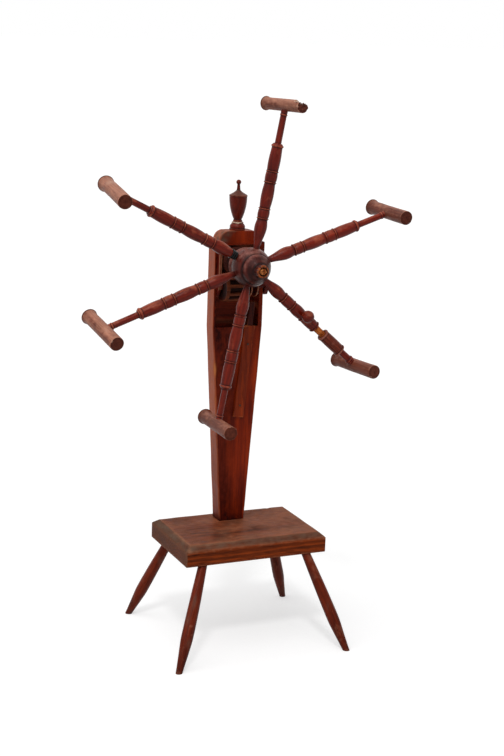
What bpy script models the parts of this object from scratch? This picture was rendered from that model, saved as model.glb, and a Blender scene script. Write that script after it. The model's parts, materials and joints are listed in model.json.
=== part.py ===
"""Six-arm clock reel on a four-legged plank: a wooden yarn winder that counts its own turns.

Metres, +Z up. The plank lies along X, the reel turns about an axle along Y, and the front is -Y.
The reel's axle is also a wooden worm. It turns a small toothed wheel in the post's pocket, and a
pin on that wheel flicks a springy wooden finger once for every full turn of the wheel.
"""

import math

import bmesh
import bpy
from mathutils import Matrix, Vector

# Clearances shared by all joints
seat_gap = 0.0003
running_gap = 0.0005
end_play = 0.0010
overrun = 0.003
weld_distance = 0.00001

# Base plank
plank_length = 0.280
plank_depth = 0.182
plank_thickness = 0.0375
plank_top = 0.2145
plank_chamfer_run = 0.011
plank_chamfer_drop = 0.0088

# Legs, splayed, with their feet sawn level
leg_inset_x = 0.0366
leg_inset_y = 0.0111
leg_splay_x = 0.0619
leg_splay_y = 0.0676
leg_top_radius = 0.0080
leg_belly_radius = 0.0107
leg_foot_radius = 0.0054
leg_tenon_radius = 0.0070
leg_tenon_length = 0.026
leg_shoulder_share = 0.90
leg_belly_share = 0.62
leg_names = ("leg_front_left", "leg_front_right", "leg_back_left", "leg_back_right")
foot_side_shares = ((-1, -1), (1, -1), (-1, 1), (1, 1))
foot_spread_shares = ((1.032, 0.976), (0.984, 1.022), (0.973, 1.049), (1.010, 0.953))

# Post: a tapered board with a shouldered head
post_front = 0.0337
post_thickness = 0.0312
post_foot_width = 0.051
post_width = 0.099
post_taper_below_axle = 0.124
shoulder_above_axle = 0.0335
head_width = 0.083
head_height = 0.021
head_corner_radius = 0.018
post_tenon_width = 0.034
post_tenon_thickness = 0.018

# Pocket in the post's front for the counting works
pocket_left = 0.0445
pocket_right = 0.0415
pocket_below_axle = 0.124
pocket_above_axle = 0.029
pocket_floor_thickness = 0.0065

# Reel axle, which is also the worm
axle_offset = 0.0105
axle_height = 0.714
reel_forward = 0.0757
axle_radius = 0.0075
axle_neck_radius = 0.0120
journal_radius = 0.0090
axle_tail = 0.009
axle_end_proud = 0.0012
axle_end_share = 0.90

# Counting works: a single-start worm and a straight-toothed wheel
wheel_teeth = 10
wheel_pitch_radius = 0.024
tooth_addendum = 0.0031
tooth_dedendum = 0.0038
tooth_backlash = 0.0012
pressure_angle = math.radians(25)
works_distance = 0.0475
arbor_forward = 0.0037
wheel_width = 0.038
wheel_flange_radius = 0.0262
wheel_flange_width = 0.0062
thread_turns = 2.6
thread_taper_share = 0.15
thread_start_share = 0.20
wheel_gap_share = 1 / 3
tooth_root_share = 1.10

# Arbor of the counting wheel
arbor_radius = 0.0050
arbor_pivot_radius = 0.0035
disc_radius = 0.020
disc_thickness = 0.0030
disc_inner_place = 0.0168
disc_outer_place = 0.0289
trip_pin_radius = 0.0018
trip_pin_reach = 0.0280
trip_pin_foot = 0.0015
trip_pin_turn = math.radians(-60)
disc_edge_share = 0.97

# Brackets that carry the arbor, standing proud of the post's front
bracket_proud = 0.0100
bracket_slant = 0.0160
left_bracket_thickness = 0.0050
left_bracket_drop = 0.0185
right_bracket_thickness = 0.0080
right_bracket_drop = 0.0175
right_bracket_height = 0.024
right_bracket_depth = 0.0260

# Rear bearing block, which gives the axle a long bearing
bearing_width = 0.052
bearing_height = 0.048
bearing_depth = 0.020

# Slat on the post's front and the springy finger above it
slat_width = 0.0200
slat_thickness = 0.0045
slat_length = 0.175
slat_low_x = 0.0055
slat_under_pocket = 0.1720
slat_tilt = math.radians(5.8)
finger_width = 0.0106
finger_thickness = 0.0030
finger_corner = 0.0025
click_clearance = 0.0010
nail_head_radius = 0.0021
nail_shank_radius = 0.0012
nail_head_thickness = 0.0009
nail_length = 0.015
nail_shares = (0.13, 0.80)

# Turned finial and its cushion
cushion_radius = 0.0150
cushion_height = 0.0130
finial_foot_radius = 0.0080
finial_rim_radius = 0.0183
finial_neck_radius = 0.0042
finial_ball_radius = 0.0046
finial_foot_height = 0.0050
finial_bowl_height = 0.0400
finial_cap_height = 0.0140
finial_stem_height = 0.0070
finial_dowel_radius = 0.0040
finial_dowel_length = 0.0150
cushion_edge_share = 0.93
cushion_edge_height_share = 0.08
cushion_belly_share = 0.97
cushion_top_share = 0.72
cushion_swell_share = 0.10
urn_foot_bead_share = 0.12
urn_bowl_foot_share = 0.92
urn_bowl_swell_share = 0.13
urn_bowl_belly_share = 0.55
urn_lip_share = 0.10
urn_cap_foot_share = 0.86
urn_waist_share = 0.80
urn_hollow_power = 2.4

# Hub of the reel
hub_radius = 0.0372
hub_nose_radius = 0.0112
hub_nose_reach = 0.0493
hub_rim_radius = 0.0300
hub_back_reach = 0.0285
hub_rim_width = 0.0067
hub_rim_groove_share = 0.93
hub_ring_step = 0.0011
hub_ring_inset_share = 0.92
hub_nose_rounding = 0.0019
hub_nose_reach_shares = (0.76, 0.92, 1.0)
hub_nose_radius_shares = (1.35, 1.02, 1.08, 0.94)
hub_front_angle = math.radians(37)
arm_socket_bottom = 0.0225

# Arms and crossbars
reel_radius = 0.292
arm_root_radius = 0.0070
arm_belly_radius = 0.0112
arm_stem_radius = 0.0065
arm_tenon_radius = 0.0055
arm_tip_tenon_radius = 0.0045
arm_ring_rise = 0.0012
arm_ring_width = 0.0026
arm_collar_length = 0.0077
arm_ring_shares = (0.208, 0.294, 0.476, 0.571, 0.742, 0.764)
arm_vase_swell_share = 0.21
arm_vase_neck_share = 0.89
arm_vase_belly_share = 0.55
barrel_end_share = 0.88
inner_groove_share = 0.90
outer_groove_share = 0.93
bar_length = 0.128
bar_radius = 0.0127
bar_lip_radius = 0.0148
bar_lip_width = 0.0055
bar_end_rounding = 0.0030
bar_waist_share = 0.98
bar_socket_past_centre = 0.0040
arm_names = ("top", "right", "crank", "bottom", "lower_left", "upper_left")
arm_angles = (79.4, 18.5, -41.1, -100.9, -159.8, 153.1)
bar_twist_angles = (7.8, 2.1, -4.2, 1.3, -11.9, -8.4)
arm_shift_shares = (-0.12, 0.085, 0.085, 0.03, 0.085, -0.045)
arm_reach_shares = (0.995, 1.0, 0.990, 1.004, 1.007, 0.993)
mended_arm_offset = 0.0051

# Crank arm: knuckle, knob and locking sleeve
knuckle_share = 0.6392
knuckle_radius = 0.0064
knuckle_shoulder = 0.0070
knuckle_neck = 0.0114
tongue_thickness = 0.0040
knuckle_pin_radius = 0.0020
sleeve_radius = 0.0112
sleeve_ring_radius = 0.0120
sleeve_stand_off = 0.0090
sleeve_length_share = 0.581
sleeve_ring_width = 0.0039
crank_ring_shares = (0.352, 0.541, 0.742)
crank_groove_share = 0.86
crank_end_share = 0.80
knob_share = 0.4338
knob_radius = 0.0115
knob_stand_off = 0.0180
knob_neck_radius = 0.0055
knob_dowel_radius = 0.0035
knob_dowel_depth = 0.0056
pin_length_share = 0.97

# Mending band round the loose arm's root
band_thickness = 0.0016
band_width = 0.0130
band_start = 0.0400

# Wedge in the axle's end and peg behind the bearing
wedge_width = 0.0110
wedge_thickness = 0.0022
wedge_depth = 0.0120
peg_radius = 0.0030
peg_length = 0.034

# Places worked out from the sizes above
post_back = post_front + post_thickness
post_middle = post_front + post_thickness / 2
plank_bottom = plank_top - plank_thickness
leg_top_x, leg_top_y = plank_length / 2 - leg_inset_x, plank_depth / 2 - leg_inset_y
foot_x, foot_y = leg_top_x + leg_splay_x, leg_top_y + leg_splay_y
post_taper_end = axle_height - post_taper_below_axle
post_shoulder = axle_height + shoulder_above_axle
head_top = post_shoulder + head_height
pocket_bottom = axle_height - pocket_below_axle
pocket_top = axle_height + pocket_above_axle
slat_low_z = pocket_bottom - slat_under_pocket
pocket_floor = post_back - pocket_floor_thickness
reel_plane = post_front - reel_forward
arbor_y = post_front - arbor_forward
arbor_z = axle_height - works_distance
left_bracket_bottom = arbor_z - left_bracket_drop
right_bracket_bottom = arbor_z - right_bracket_drop
arm_start = hub_radius + seat_gap
crank_reach = reel_radius * arm_reach_shares[arm_names.index("crank")]
crank_end = crank_reach - bar_radius - seat_gap
knuckle_reach = arm_start + (crank_end - arm_start) * knuckle_share
knob_reach = arm_start + (crank_end - arm_start) * knob_share
inner_arm_end = knuckle_reach - knuckle_neck
sleeve_length = (crank_end - knuckle_reach) * sleeve_length_share
tooth_pitch = 2 * math.pi * wheel_pitch_radius / wheel_teeth
worm_pitch_radius = works_distance - wheel_pitch_radius
worm_crest_radius = worm_pitch_radius + tooth_addendum
worm_core_radius = worm_pitch_radius - tooth_dedendum
half_tooth = (tooth_pitch - tooth_backlash) / 4

# How finely round pieces are cut
arm_sides = 12
bar_sides = 14
hub_sides = 20
small_sides = 8
hole_sides = 12
corner_steps = 6
tip_steps = 4
leg_steps = 10
vase_steps = 6
barrel_steps = 4
cushion_steps = 5
cap_steps = 5
ball_steps = 5
hub_steps = 11
knob_steps = 9
flank_steps = 3
thread_steps = 24
sharp_angle = math.radians(38)

collection = bpy.context.scene.collection
reel_frames = {}


# Making and joining pieces


def clear_scene():
    for obj in list(bpy.data.objects):
        bpy.data.objects.remove(obj, do_unlink=True)


def stained_wood(name, color, roughness):
    material = bpy.data.materials.new(name)
    material.use_nodes = True
    shader = material.node_tree.nodes["Principled BSDF"]
    shader.inputs["Base Color"].default_value = (*color, 1.0)
    shader.inputs["Roughness"].default_value = roughness
    shader.inputs["Metallic"].default_value = 0.0
    return material


def empty(name, parent, matrix):
    obj = bpy.data.objects.new(name, None)
    collection.objects.link(obj)
    obj.parent = parent
    obj.matrix_basis = matrix
    return obj


def place(name, mesh, parent, matrix, material=None):
    obj = bpy.data.objects.new(name, mesh)
    collection.objects.link(obj)
    obj.parent = parent
    obj.matrix_basis = matrix
    if material is not None:
        mesh.materials.append(material)
    return obj


def bake(obj):
    """Keep the shape that the modifiers give, and shade it smooth up to its sharp edges."""
    bpy.context.view_layer.update()
    graph = bpy.context.evaluated_depsgraph_get()
    mesh = bpy.data.meshes.new_from_object(obj.evaluated_get(graph))
    obj.modifiers.clear()
    obj.data = mesh
    mesh.shade_smooth()
    mesh.set_sharp_from_angle(angle=sharp_angle)
    return obj


def combine(obj, helper, operation):
    """Cut the helper out of the piece, or join it on, and take the helper away."""
    helper.hide_render = True
    helper.display_type = "WIRE"
    boolean = obj.modifiers.new(operation.lower(), "BOOLEAN")
    boolean.operation = operation
    boolean.object = helper
    bake(obj)
    bpy.data.objects.remove(helper, do_unlink=True)
    return obj


def turned_mesh(name, outline, sides, lining=()):
    """Spin an outline of (height, radius) points, written from the bottom up, about Z.

    The lining is the wall of a bore right through the piece, written the same way.
    """
    inside = list(lining) or [(outline[0][0], 0.0), (outline[-1][0], 0.0)]
    round_trip = [inside[-1]] + outline[::-1] + inside[:-1]
    points = [(radius, 0.0, height) for height, radius in round_trip]
    edges = [(k, k + 1) for k in range(len(points) - 1)]
    if lining:
        edges.append((len(points) - 1, 0))
    profile = bpy.data.meshes.new(name + "_profile")
    profile.from_pydata(points, edges, [])
    carrier = place(name + "_turning", profile, None, Matrix())
    screw = carrier.modifiers.new("turn", "SCREW")
    screw.steps = sides
    screw.render_steps = sides
    screw.use_merge_vertices = True
    screw.merge_threshold = weld_distance
    bake(carrier)
    mesh = carrier.data
    bpy.data.objects.remove(carrier, do_unlink=True)
    mesh.name = name
    return mesh


def turned(name, outline, sides, material, parent, matrix, lining=()):
    mesh = turned_mesh(name, outline, sides, lining)
    return place(name, mesh, parent, matrix, material)


def prism_mesh(name, outline, low, high):
    """Push a flat outline of (x, z) points, written anticlockwise seen from the front, along Y."""
    shape = bmesh.new()
    corners = [shape.verts.new((x, low, z)) for x, z in outline]
    face = shape.faces.new(corners)
    pushed = bmesh.ops.extrude_face_region(shape, geom=[face])["geom"]
    moved = [part for part in pushed if isinstance(part, bmesh.types.BMVert)]
    bmesh.ops.translate(shape, verts=moved, vec=(0.0, high - low, 0.0))
    bmesh.ops.recalc_face_normals(shape, faces=shape.faces)
    mesh = bpy.data.meshes.new(name)
    shape.to_mesh(mesh)
    shape.free()
    return mesh


def box_mesh(name, low, high):
    outline = [(low[0], low[2]), (high[0], low[2]), (high[0], high[2]), (low[0], high[2])]
    return prism_mesh(name, outline, low[1], high[1])


def rod_outline(low, high, radius):
    return [(low, radius), (high, radius)]


def straight_bore(outline, radius):
    return rod_outline(outline[0][0], outline[-1][0], radius)


def hole_radius(shaft_radius, gap, sides=hole_sides):
    """Radius of a faceted hole whose flats clear the shaft by the gap."""
    return (shaft_radius + gap) / math.cos(math.pi / sides)


def bore_hole(obj, parent, matrix, low, high, radius, sides=hole_sides):
    """Drill along the matrix's own Z axis, from low to high."""
    mesh = turned_mesh("drill", rod_outline(low, high, radius), sides)
    return combine(obj, place("drill", mesh, parent, matrix), "DIFFERENCE")


def cut_box(obj, parent, matrix, low, high):
    mesh = box_mesh("chisel", low, high)
    return combine(obj, place("chisel", mesh, parent, matrix), "DIFFERENCE")


# Stretches of turned outlines, as (height, radius) points


def arc_points(centre, radius, start, end, steps):
    """Points on a circle about a place on the turning axis, between two angles from +height."""
    angles = [math.radians(start + (end - start) * k / steps) for k in range(steps + 1)]
    return [(centre + radius * math.cos(a), radius * math.sin(a)) for a in angles]


def swell(low, high, low_radius, high_radius, belly_rise, steps, belly_share=1 / 2):
    """A belly between two heights: a straight taper plus an arch that peaks at belly_share."""
    points = []
    power = math.log(1 / 2) / math.log(belly_share)
    for k in range(steps + 1):
        share = k / steps
        taper = low_radius + (high_radius - low_radius) * share
        arch = belly_rise * math.sin(math.pi * share**power)
        points.append((low + (high - low) * share, taper + arch))
    return points


def ring(low, width, radius, rise):
    """A thin raised ring that comes to a soft edge."""
    return [(low, radius), (low + width / 2, radius + rise), (low + width, radius)]


def bead(low, width, radius, rise):
    """A wider raised ring: up, across and down again."""
    quarter = width / 4
    return [
        (low, radius),
        (low + quarter, radius + rise),
        (low + width - quarter, radius + rise),
        (low + width, radius),
    ]


# Frames that carry the pieces

along_y = Matrix.Rotation(math.radians(-90), 4, "X")
facing_front = Matrix.Rotation(math.radians(90), 4, "X")
along_x = Matrix.Rotation(math.radians(90), 4, "Y")

clear_scene()
stand = empty("stand_origin", None, Matrix())
reel_centre = Vector((-axle_offset, reel_plane, axle_height))
reel = empty("reel_turns", stand, Matrix.Translation(reel_centre))
arbor_frame = empty("arbor_turns", stand, Matrix.Translation((0.0, arbor_y, arbor_z)))

post_stain = stained_wood("post_stain", (0.19, 0.035, 0.012), 0.42)
plank_stain = stained_wood("plank_stain", (0.16, 0.055, 0.030), 0.50)
leg_stain = stained_wood("leg_stain", (0.115, 0.020, 0.011), 0.38)
arm_stain = stained_wood("arm_stain", (0.155, 0.036, 0.022), 0.40)
hub_stain = stained_wood("hub_stain", (0.165, 0.070, 0.055), 0.45)
bar_stain = stained_wood("bar_stain", (0.210, 0.085, 0.055), 0.58)
bare_wood = stained_wood("bare_wood", (0.50, 0.21, 0.07), 0.62)
works_wood = stained_wood("works_wood", (0.27, 0.10, 0.045), 0.60)
black_band = stained_wood("black_band", (0.012, 0.011, 0.012), 0.22)
nail_iron = stained_wood("nail_iron", (0.06, 0.05, 0.045), 0.55)


# Base plank: a chamfered board with four leg sockets and a mortise for the post


def plank_mesh():
    shape = bmesh.new()
    half_length, half_depth = plank_length / 2, plank_depth / 2
    rings = (
        (plank_bottom, 0.0),
        (plank_top - plank_chamfer_drop, 0.0),
        (plank_top, plank_chamfer_run),
    )
    loops = []
    for height, inset in rings:
        x, y = half_length - inset, half_depth - inset
        corners = ((-x, -y), (x, -y), (x, y), (-x, y))
        loops.append([shape.verts.new((cx, cy, height)) for cx, cy in corners])
    shape.faces.new(reversed(loops[0]))
    shape.faces.new(loops[-1])
    for lower, upper in zip(loops, loops[1:]):
        for k in range(4):
            shape.faces.new((lower[k], lower[k - 3], upper[k - 3], upper[k]))
    bmesh.ops.recalc_face_normals(shape, faces=shape.faces)
    mesh = bpy.data.meshes.new("base_plank")
    shape.to_mesh(mesh)
    shape.free()
    return mesh


def leg_matrix(name):
    """A frame at the plank's underside whose Z axis points down the leg."""
    row = leg_names.index(name)
    side_x, side_y = foot_side_shares[row]
    spread_x, spread_y = foot_spread_shares[row]
    top = Vector((side_x * leg_top_x, side_y * leg_top_y, plank_bottom))
    foot = Vector((side_x * foot_x * spread_x, side_y * foot_y * spread_y, 0.0))
    turn = (foot - top).to_track_quat("Z", "Y").to_matrix().to_4x4()
    return Matrix.Translation(top) @ turn, (foot - top).length


def make_leg(name):
    matrix, length = leg_matrix(name)
    shoulder = leg_top_radius * leg_shoulder_share
    past_floor = leg_belly_radius
    outline = rod_outline(-leg_tenon_length, shoulder, leg_tenon_radius)
    rise = leg_belly_radius - (leg_top_radius + leg_foot_radius) / 2
    outline += swell(
        shoulder,
        length + past_floor,
        leg_top_radius,
        leg_foot_radius,
        rise,
        leg_steps,
        leg_belly_share,
    )
    leg = turned(name, outline, arm_sides, leg_stain, stand, matrix)
    reach = foot_x + foot_y
    floor_low = (-reach, -reach, -length)
    return cut_box(leg, stand, Matrix(), floor_low, (reach, reach, 0.0))


plank = place("base_plank", plank_mesh(), stand, Matrix(), plank_stain)
for leg_name in leg_names:
    socket, _ = leg_matrix(leg_name)
    depth = leg_tenon_length + seat_gap
    reach = leg_tenon_radius + overrun
    bore_hole(plank, stand, socket, -depth, reach, hole_radius(leg_tenon_radius, seat_gap))
    make_leg(leg_name)
mortise_x = post_tenon_width / 2 + seat_gap
mortise_y = post_tenon_thickness / 2 + seat_gap
cut_box(
    plank,
    stand,
    Matrix.Translation((0.0, post_middle, 0.0)),
    (-mortise_x, -mortise_y, plank_bottom - overrun),
    (mortise_x, mortise_y, plank_top + overrun),
)


# Post: one tapered board, tenoned into the plank, with the works' pocket cut in its front


def post_outline():
    foot = plank_top + seat_gap
    side = [
        (post_foot_width / 2, foot),
        (post_width / 2, post_taper_end),
        (post_width / 2, post_shoulder),
        (head_width / 2, post_shoulder),
    ]
    corner_x = head_width / 2 - head_corner_radius
    corner_z = head_top - head_corner_radius
    for k in range(corner_steps + 1):
        angle = math.pi / 2 * k / corner_steps
        x = corner_x + head_corner_radius * math.cos(angle)
        side.append((x, corner_z + head_corner_radius * math.sin(angle)))
    return side + [(-x, z) for x, z in reversed(side)]


post_board = prism_mesh("post", post_outline(), post_front, post_back)
post = place("post", post_board, stand, Matrix(), post_stain)
tenon_x, tenon_y = post_tenon_width / 2, post_tenon_thickness / 2
tenon_mesh = box_mesh(
    "tenon",
    (-tenon_x, post_middle - tenon_y, plank_bottom),
    (tenon_x, post_middle + tenon_y, plank_top + overrun),
)
combine(post, place("tenon", tenon_mesh, stand, Matrix()), "UNION")
cut_box(
    post,
    stand,
    Matrix(),
    (-pocket_left, post_front - overrun, pocket_bottom),
    (pocket_right, pocket_floor, pocket_top),
)
journal_hole = hole_radius(journal_radius, running_gap)
axle_line = Matrix.Translation((-axle_offset, 0.0, axle_height)) @ along_y
bore_hole(post, stand, axle_line, pocket_floor - overrun, post_back + overrun, journal_hole)
arbor_line = Matrix.Translation((0.0, arbor_y, arbor_z)) @ along_x
notch = hole_radius(arbor_pivot_radius + seat_gap, running_gap)
bore_hole(post, stand, arbor_line, pocket_right - overrun, post_width / 2 + overrun, notch)
head_line = Matrix.Translation((0.0, post_middle, head_top))
dowel_hole = hole_radius(finial_dowel_radius, seat_gap)
bore_hole(post, stand, head_line, -finial_dowel_length - seat_gap, overrun, dowel_hole)


# Rear bearing block, nailed behind the post round the axle's journal

bearing = place(
    "rear_bearing_block",
    box_mesh(
        "rear_bearing_block",
        (-bearing_width / 2, post_back + seat_gap, -bearing_height / 2),
        (bearing_width / 2, post_back + bearing_depth, bearing_height / 2),
    ),
    stand,
    Matrix.Translation((-axle_offset, 0.0, axle_height)),
    post_stain,
)
bearing_back = post_back + bearing_depth
bore_hole(bearing, stand, axle_line, post_back - overrun, bearing_back + overrun, journal_hole)


# Brackets that carry the arbor: small boards with a slanted lower front corner


def bracket(name, left, right, back, bottom, top):
    """The outline lies in YZ, so it is drawn flat and stood across the post."""
    front = post_front - bracket_proud
    outline = [
        (back, bottom),
        (front + bracket_proud, bottom),
        (front, bottom + bracket_slant),
        (front, top),
        (back, top),
    ]
    mesh = prism_mesh(name, outline, -right, -left)
    turn = Matrix.Rotation(math.radians(90), 4, "Z")
    obj = place(name, mesh, stand, turn, post_stain)
    pivot_hole = hole_radius(arbor_pivot_radius, running_gap)
    return bore_hole(obj, stand, arbor_line, left - overrun, right + overrun, pivot_hole)


left_bracket_left = -pocket_left + seat_gap
bracket(
    "bracket_left",
    left_bracket_left,
    left_bracket_left + left_bracket_thickness,
    pocket_floor - seat_gap,
    left_bracket_bottom,
    pocket_top - seat_gap,
)
right_bracket_left = post_width / 2 + seat_gap
bracket(
    "bracket_right",
    right_bracket_left,
    right_bracket_left + right_bracket_thickness,
    post_front - bracket_proud + right_bracket_depth,
    right_bracket_bottom,
    right_bracket_bottom + right_bracket_height,
)


# Slat nailed to the post's front, with a hollow in its top end where the finger stands

slat_turn = Matrix.Rotation(slat_tilt, 4, "Y")
slat_middle_y = post_front - seat_gap - slat_thickness / 2
slat_frame = Matrix.Translation((slat_low_x, slat_middle_y, slat_low_z)) @ slat_turn
slat = place(
    "slat",
    box_mesh(
        "slat",
        (-slat_width / 2, -slat_thickness / 2, 0.0),
        (slat_width / 2, slat_thickness / 2, slat_length),
    ),
    stand,
    slat_frame,
    post_stain,
)
finger_end_radius = finger_thickness / 2
finger_pivot_z = slat_length + finger_end_radius / 2
hinge_frame = slat_frame @ Matrix.Translation((0.0, 0.0, finger_pivot_z))
hollow_reach = slat_width / 2 + overrun
hollow_radius = hole_radius(finger_end_radius, seat_gap)
bore_hole(slat, stand, hinge_frame @ along_x, -hollow_reach, hollow_reach, hollow_radius)


def nail_places():
    return [slat_frame @ Matrix.Translation((0.0, 0.0, slat_length * s)) for s in nail_shares]


nail_shank_hole = hole_radius(nail_shank_radius, seat_gap, small_sides)
nail_back = nail_length - slat_thickness / 2
for nail_frame in nail_places():
    drill = nail_frame @ along_y
    reach = nail_back + seat_gap
    bore_hole(slat, stand, drill, -slat_thickness, reach, nail_shank_hole, small_sides)
    bore_hole(post, stand, drill, -slat_thickness, reach, nail_shank_hole, small_sides)


def nail_outline():
    """Heights run forwards from the slat's middle: a shank in slat and post, and a flat head."""
    head_low = slat_thickness / 2 + seat_gap
    outline = rod_outline(-nail_back, head_low, nail_shank_radius)
    return outline + rod_outline(head_low, head_low + nail_head_thickness, nail_head_radius)


for nail_name, nail_frame in zip(("slat_nail_lower", "slat_nail_upper"), nail_places()):
    turned(nail_name, nail_outline(), small_sides, nail_iron, stand, nail_frame @ facing_front)


# Springy finger: its rounded foot stands in the slat's hollow, its tip waits below the trip pin

finger_turns = empty("finger_turns", stand, hinge_frame)


def finger_mesh():
    """A strip whose top corners are cut round, drawn flat and pushed through its thickness."""
    rise = arbor_z - trip_pin_reach - click_clearance - hinge_frame.translation.z
    half, corner = finger_width / 2, finger_corner
    length = rise / math.cos(slat_tilt) - half * math.tan(slat_tilt)
    side = [(half, 0.0)]
    for k in range(tip_steps + 1):
        angle = math.pi / 2 * k / tip_steps
        x = half - corner + corner * math.cos(angle)
        side.append((x, length - corner + corner * math.sin(angle)))
    outline = side + [(-x, z) for x, z in reversed(side)]
    return prism_mesh("click_finger", outline, -finger_end_radius, finger_end_radius)


finger = place("click_finger", finger_mesh(), finger_turns, Matrix(), works_wood)
foot_outline = rod_outline(-finger_width / 2, finger_width / 2, finger_end_radius)
foot = place("foot", turned_mesh("foot", foot_outline, hole_sides), finger_turns, along_x)
combine(finger, foot, "UNION")


# Finial: a cushion on the head, and an urn whose dowel passes through it


def finial_outline():
    """From the urn's foot up: bowl, rim, hollow cap, stem and ball."""
    foot_top = finial_foot_height
    rim = foot_top + finial_bowl_height
    cap = rim + finial_cap_height
    stem = cap + finial_stem_height
    bead_rise = finial_foot_radius * urn_foot_bead_share
    outline = rod_outline(-cushion_height - finial_dowel_length, 0.0, finial_dowel_radius)
    outline += bead(0.0, foot_top, finial_foot_radius, bead_rise)
    bowl_foot = finial_foot_radius * urn_bowl_foot_share
    bowl_rise = finial_rim_radius * urn_bowl_swell_share
    outline += swell(
        foot_top,
        rim,
        bowl_foot,
        finial_rim_radius,
        bowl_rise,
        vase_steps,
        urn_bowl_belly_share,
    )[1:]
    lip_top = rim + finial_rim_radius * urn_lip_share
    outline.append((lip_top, finial_rim_radius))
    flare = finial_rim_radius * urn_cap_foot_share - finial_neck_radius
    for k in range(1, cap_steps + 1):
        share = k / cap_steps
        radius = finial_neck_radius + flare * (1 - share) ** urn_hollow_power
        outline.append((lip_top + (cap - lip_top) * share, radius))
    outline.append((stem, finial_neck_radius * urn_waist_share))
    ball_centre = stem + finial_ball_radius * urn_waist_share
    return outline + arc_points(ball_centre, finial_ball_radius, 140, 25, ball_steps)


cushion_low = head_top + seat_gap
cushion_outline = [(0.0, cushion_radius * cushion_edge_share)]
cushion_outline += swell(
    cushion_height * cushion_edge_height_share,
    cushion_height - seat_gap,
    cushion_radius * cushion_belly_share,
    cushion_radius * cushion_top_share,
    cushion_radius * cushion_swell_share,
    cushion_steps,
)
turned(
    "finial_cushion",
    cushion_outline,
    bar_sides,
    post_stain,
    stand,
    Matrix.Translation((0.0, post_middle, cushion_low)),
    straight_bore(cushion_outline, dowel_hole),
)
turned(
    "finial_urn",
    finial_outline(),
    bar_sides,
    arm_stain,
    stand,
    Matrix.Translation((0.0, post_middle, cushion_low + cushion_height)),
)


# Hub: a turned ball with a rimmed back and a nose, bored for the axle and six arms


def hub_outline():
    """Two rims, the ball, a small ring step and the nose, heights from the back to the front."""
    back = -hub_back_reach
    groove = hub_rim_radius * hub_rim_groove_share
    rise = hub_rim_radius - groove
    half_rim = hub_rim_width / 2
    outline = [(back, groove)]
    outline += bead(back + seat_gap, half_rim, groove, rise)
    outline += bead(back + half_rim + seat_gap * 2, half_rim, groove, rise)
    ball_back = math.degrees(math.acos((back + hub_rim_width + seat_gap * 3) / hub_radius))
    ball_front = math.degrees(hub_front_angle)
    outline += arc_points(0.0, hub_radius, ball_back, ball_front, hub_steps)
    ring_height, ring_radius = outline[-1]
    outline.append((ring_height + hub_ring_step, ring_radius * hub_ring_inset_share))
    foot, middle, end = [hub_nose_reach * share for share in hub_nose_reach_shares]
    radii = [hub_nose_radius * share for share in hub_nose_radius_shares]
    heights = (foot, foot + hub_nose_rounding, middle, end)
    return outline + list(zip(heights, radii))


def arm_frame(name):
    """Origin on the axle line, Z outwards along the arm, Y along the arm's crossbar."""
    if name not in reel_frames:
        row = arm_names.index(name)
        angle, twist = math.radians(arm_angles[row]), math.radians(bar_twist_angles[row])
        shift = hub_radius * arm_shift_shares[row]
        offset = -mended_arm_offset if name == "upper_left" else 0.0
        sideways = Vector((-math.sin(angle), 0.0, math.cos(angle))) * offset
        matrix = Matrix.Translation(sideways + Vector((0.0, shift, 0.0)))
        matrix = matrix @ Matrix.Rotation(math.pi / 2 - angle, 4, "Y")
        matrix = matrix @ Matrix.Rotation(twist, 4, "Z")
        reel_frames[name] = empty("arm_line_" + name, reel, matrix)
        bpy.context.view_layer.update()
    return reel_frames[name]


hub_bore = straight_bore(hub_outline(), hole_radius(axle_radius, seat_gap))
hub = turned("hub", hub_outline(), hub_sides, hub_stain, reel, facing_front, hub_bore)
arm_hole = hole_radius(arm_tenon_radius, seat_gap)
for arm_name in arm_names:
    low = arm_socket_bottom - seat_gap
    bore_hole(hub, arm_frame(arm_name), Matrix(), low, hub_radius + overrun, arm_hole)


# Arms: turned spindles with three bellies parted by rings, on a tenon at each end


def spindle_start(outline):
    outline += rod_outline(arm_socket_bottom, arm_start, arm_tenon_radius)
    return outline


def first_belly(outline, low, high):
    """The vase next to the hub, slim at its root and full towards its neck."""
    rise = arm_belly_radius * arm_vase_swell_share
    neck = arm_belly_radius * arm_vase_neck_share
    outline += swell(low, high, arm_root_radius, neck, rise, vase_steps, arm_vase_belly_share)
    return outline


def barrel(outline, low, high):
    end_radius = arm_belly_radius * barrel_end_share
    rise = arm_belly_radius - end_radius
    outline += swell(low, high, end_radius, end_radius, rise, barrel_steps)
    return outline


def ring_pair(outline, low, high, groove_share):
    """Two raised rings with a plain reel between them."""
    radius = arm_belly_radius * groove_share
    outline += ring(low, arm_ring_width, radius, arm_ring_rise)
    outline += ring(high - arm_ring_width, arm_ring_width, radius, arm_ring_rise)
    return outline


def spindle_end(outline, low, high, reach_share, stem_radius):
    """The slim stem, its small collar and the tenon inside the crossbar."""
    collar = arm_collar_length
    outline += rod_outline(low, high - collar, stem_radius)
    outline += bead(high - collar, collar, stem_radius, arm_ring_rise)
    tip = reel_radius * reach_share + bar_socket_past_centre - seat_gap
    outline += rod_outline(high, tip, arm_tip_tenon_radius)
    return outline


def spindle_places(reach_share):
    """Where the arm's rings start and end, then the arm's own end, out from the axle."""
    low, high = arm_start, reel_radius * reach_share - bar_radius - seat_gap
    return [low + (high - low) * share for share in arm_ring_shares] + [high]


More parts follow.
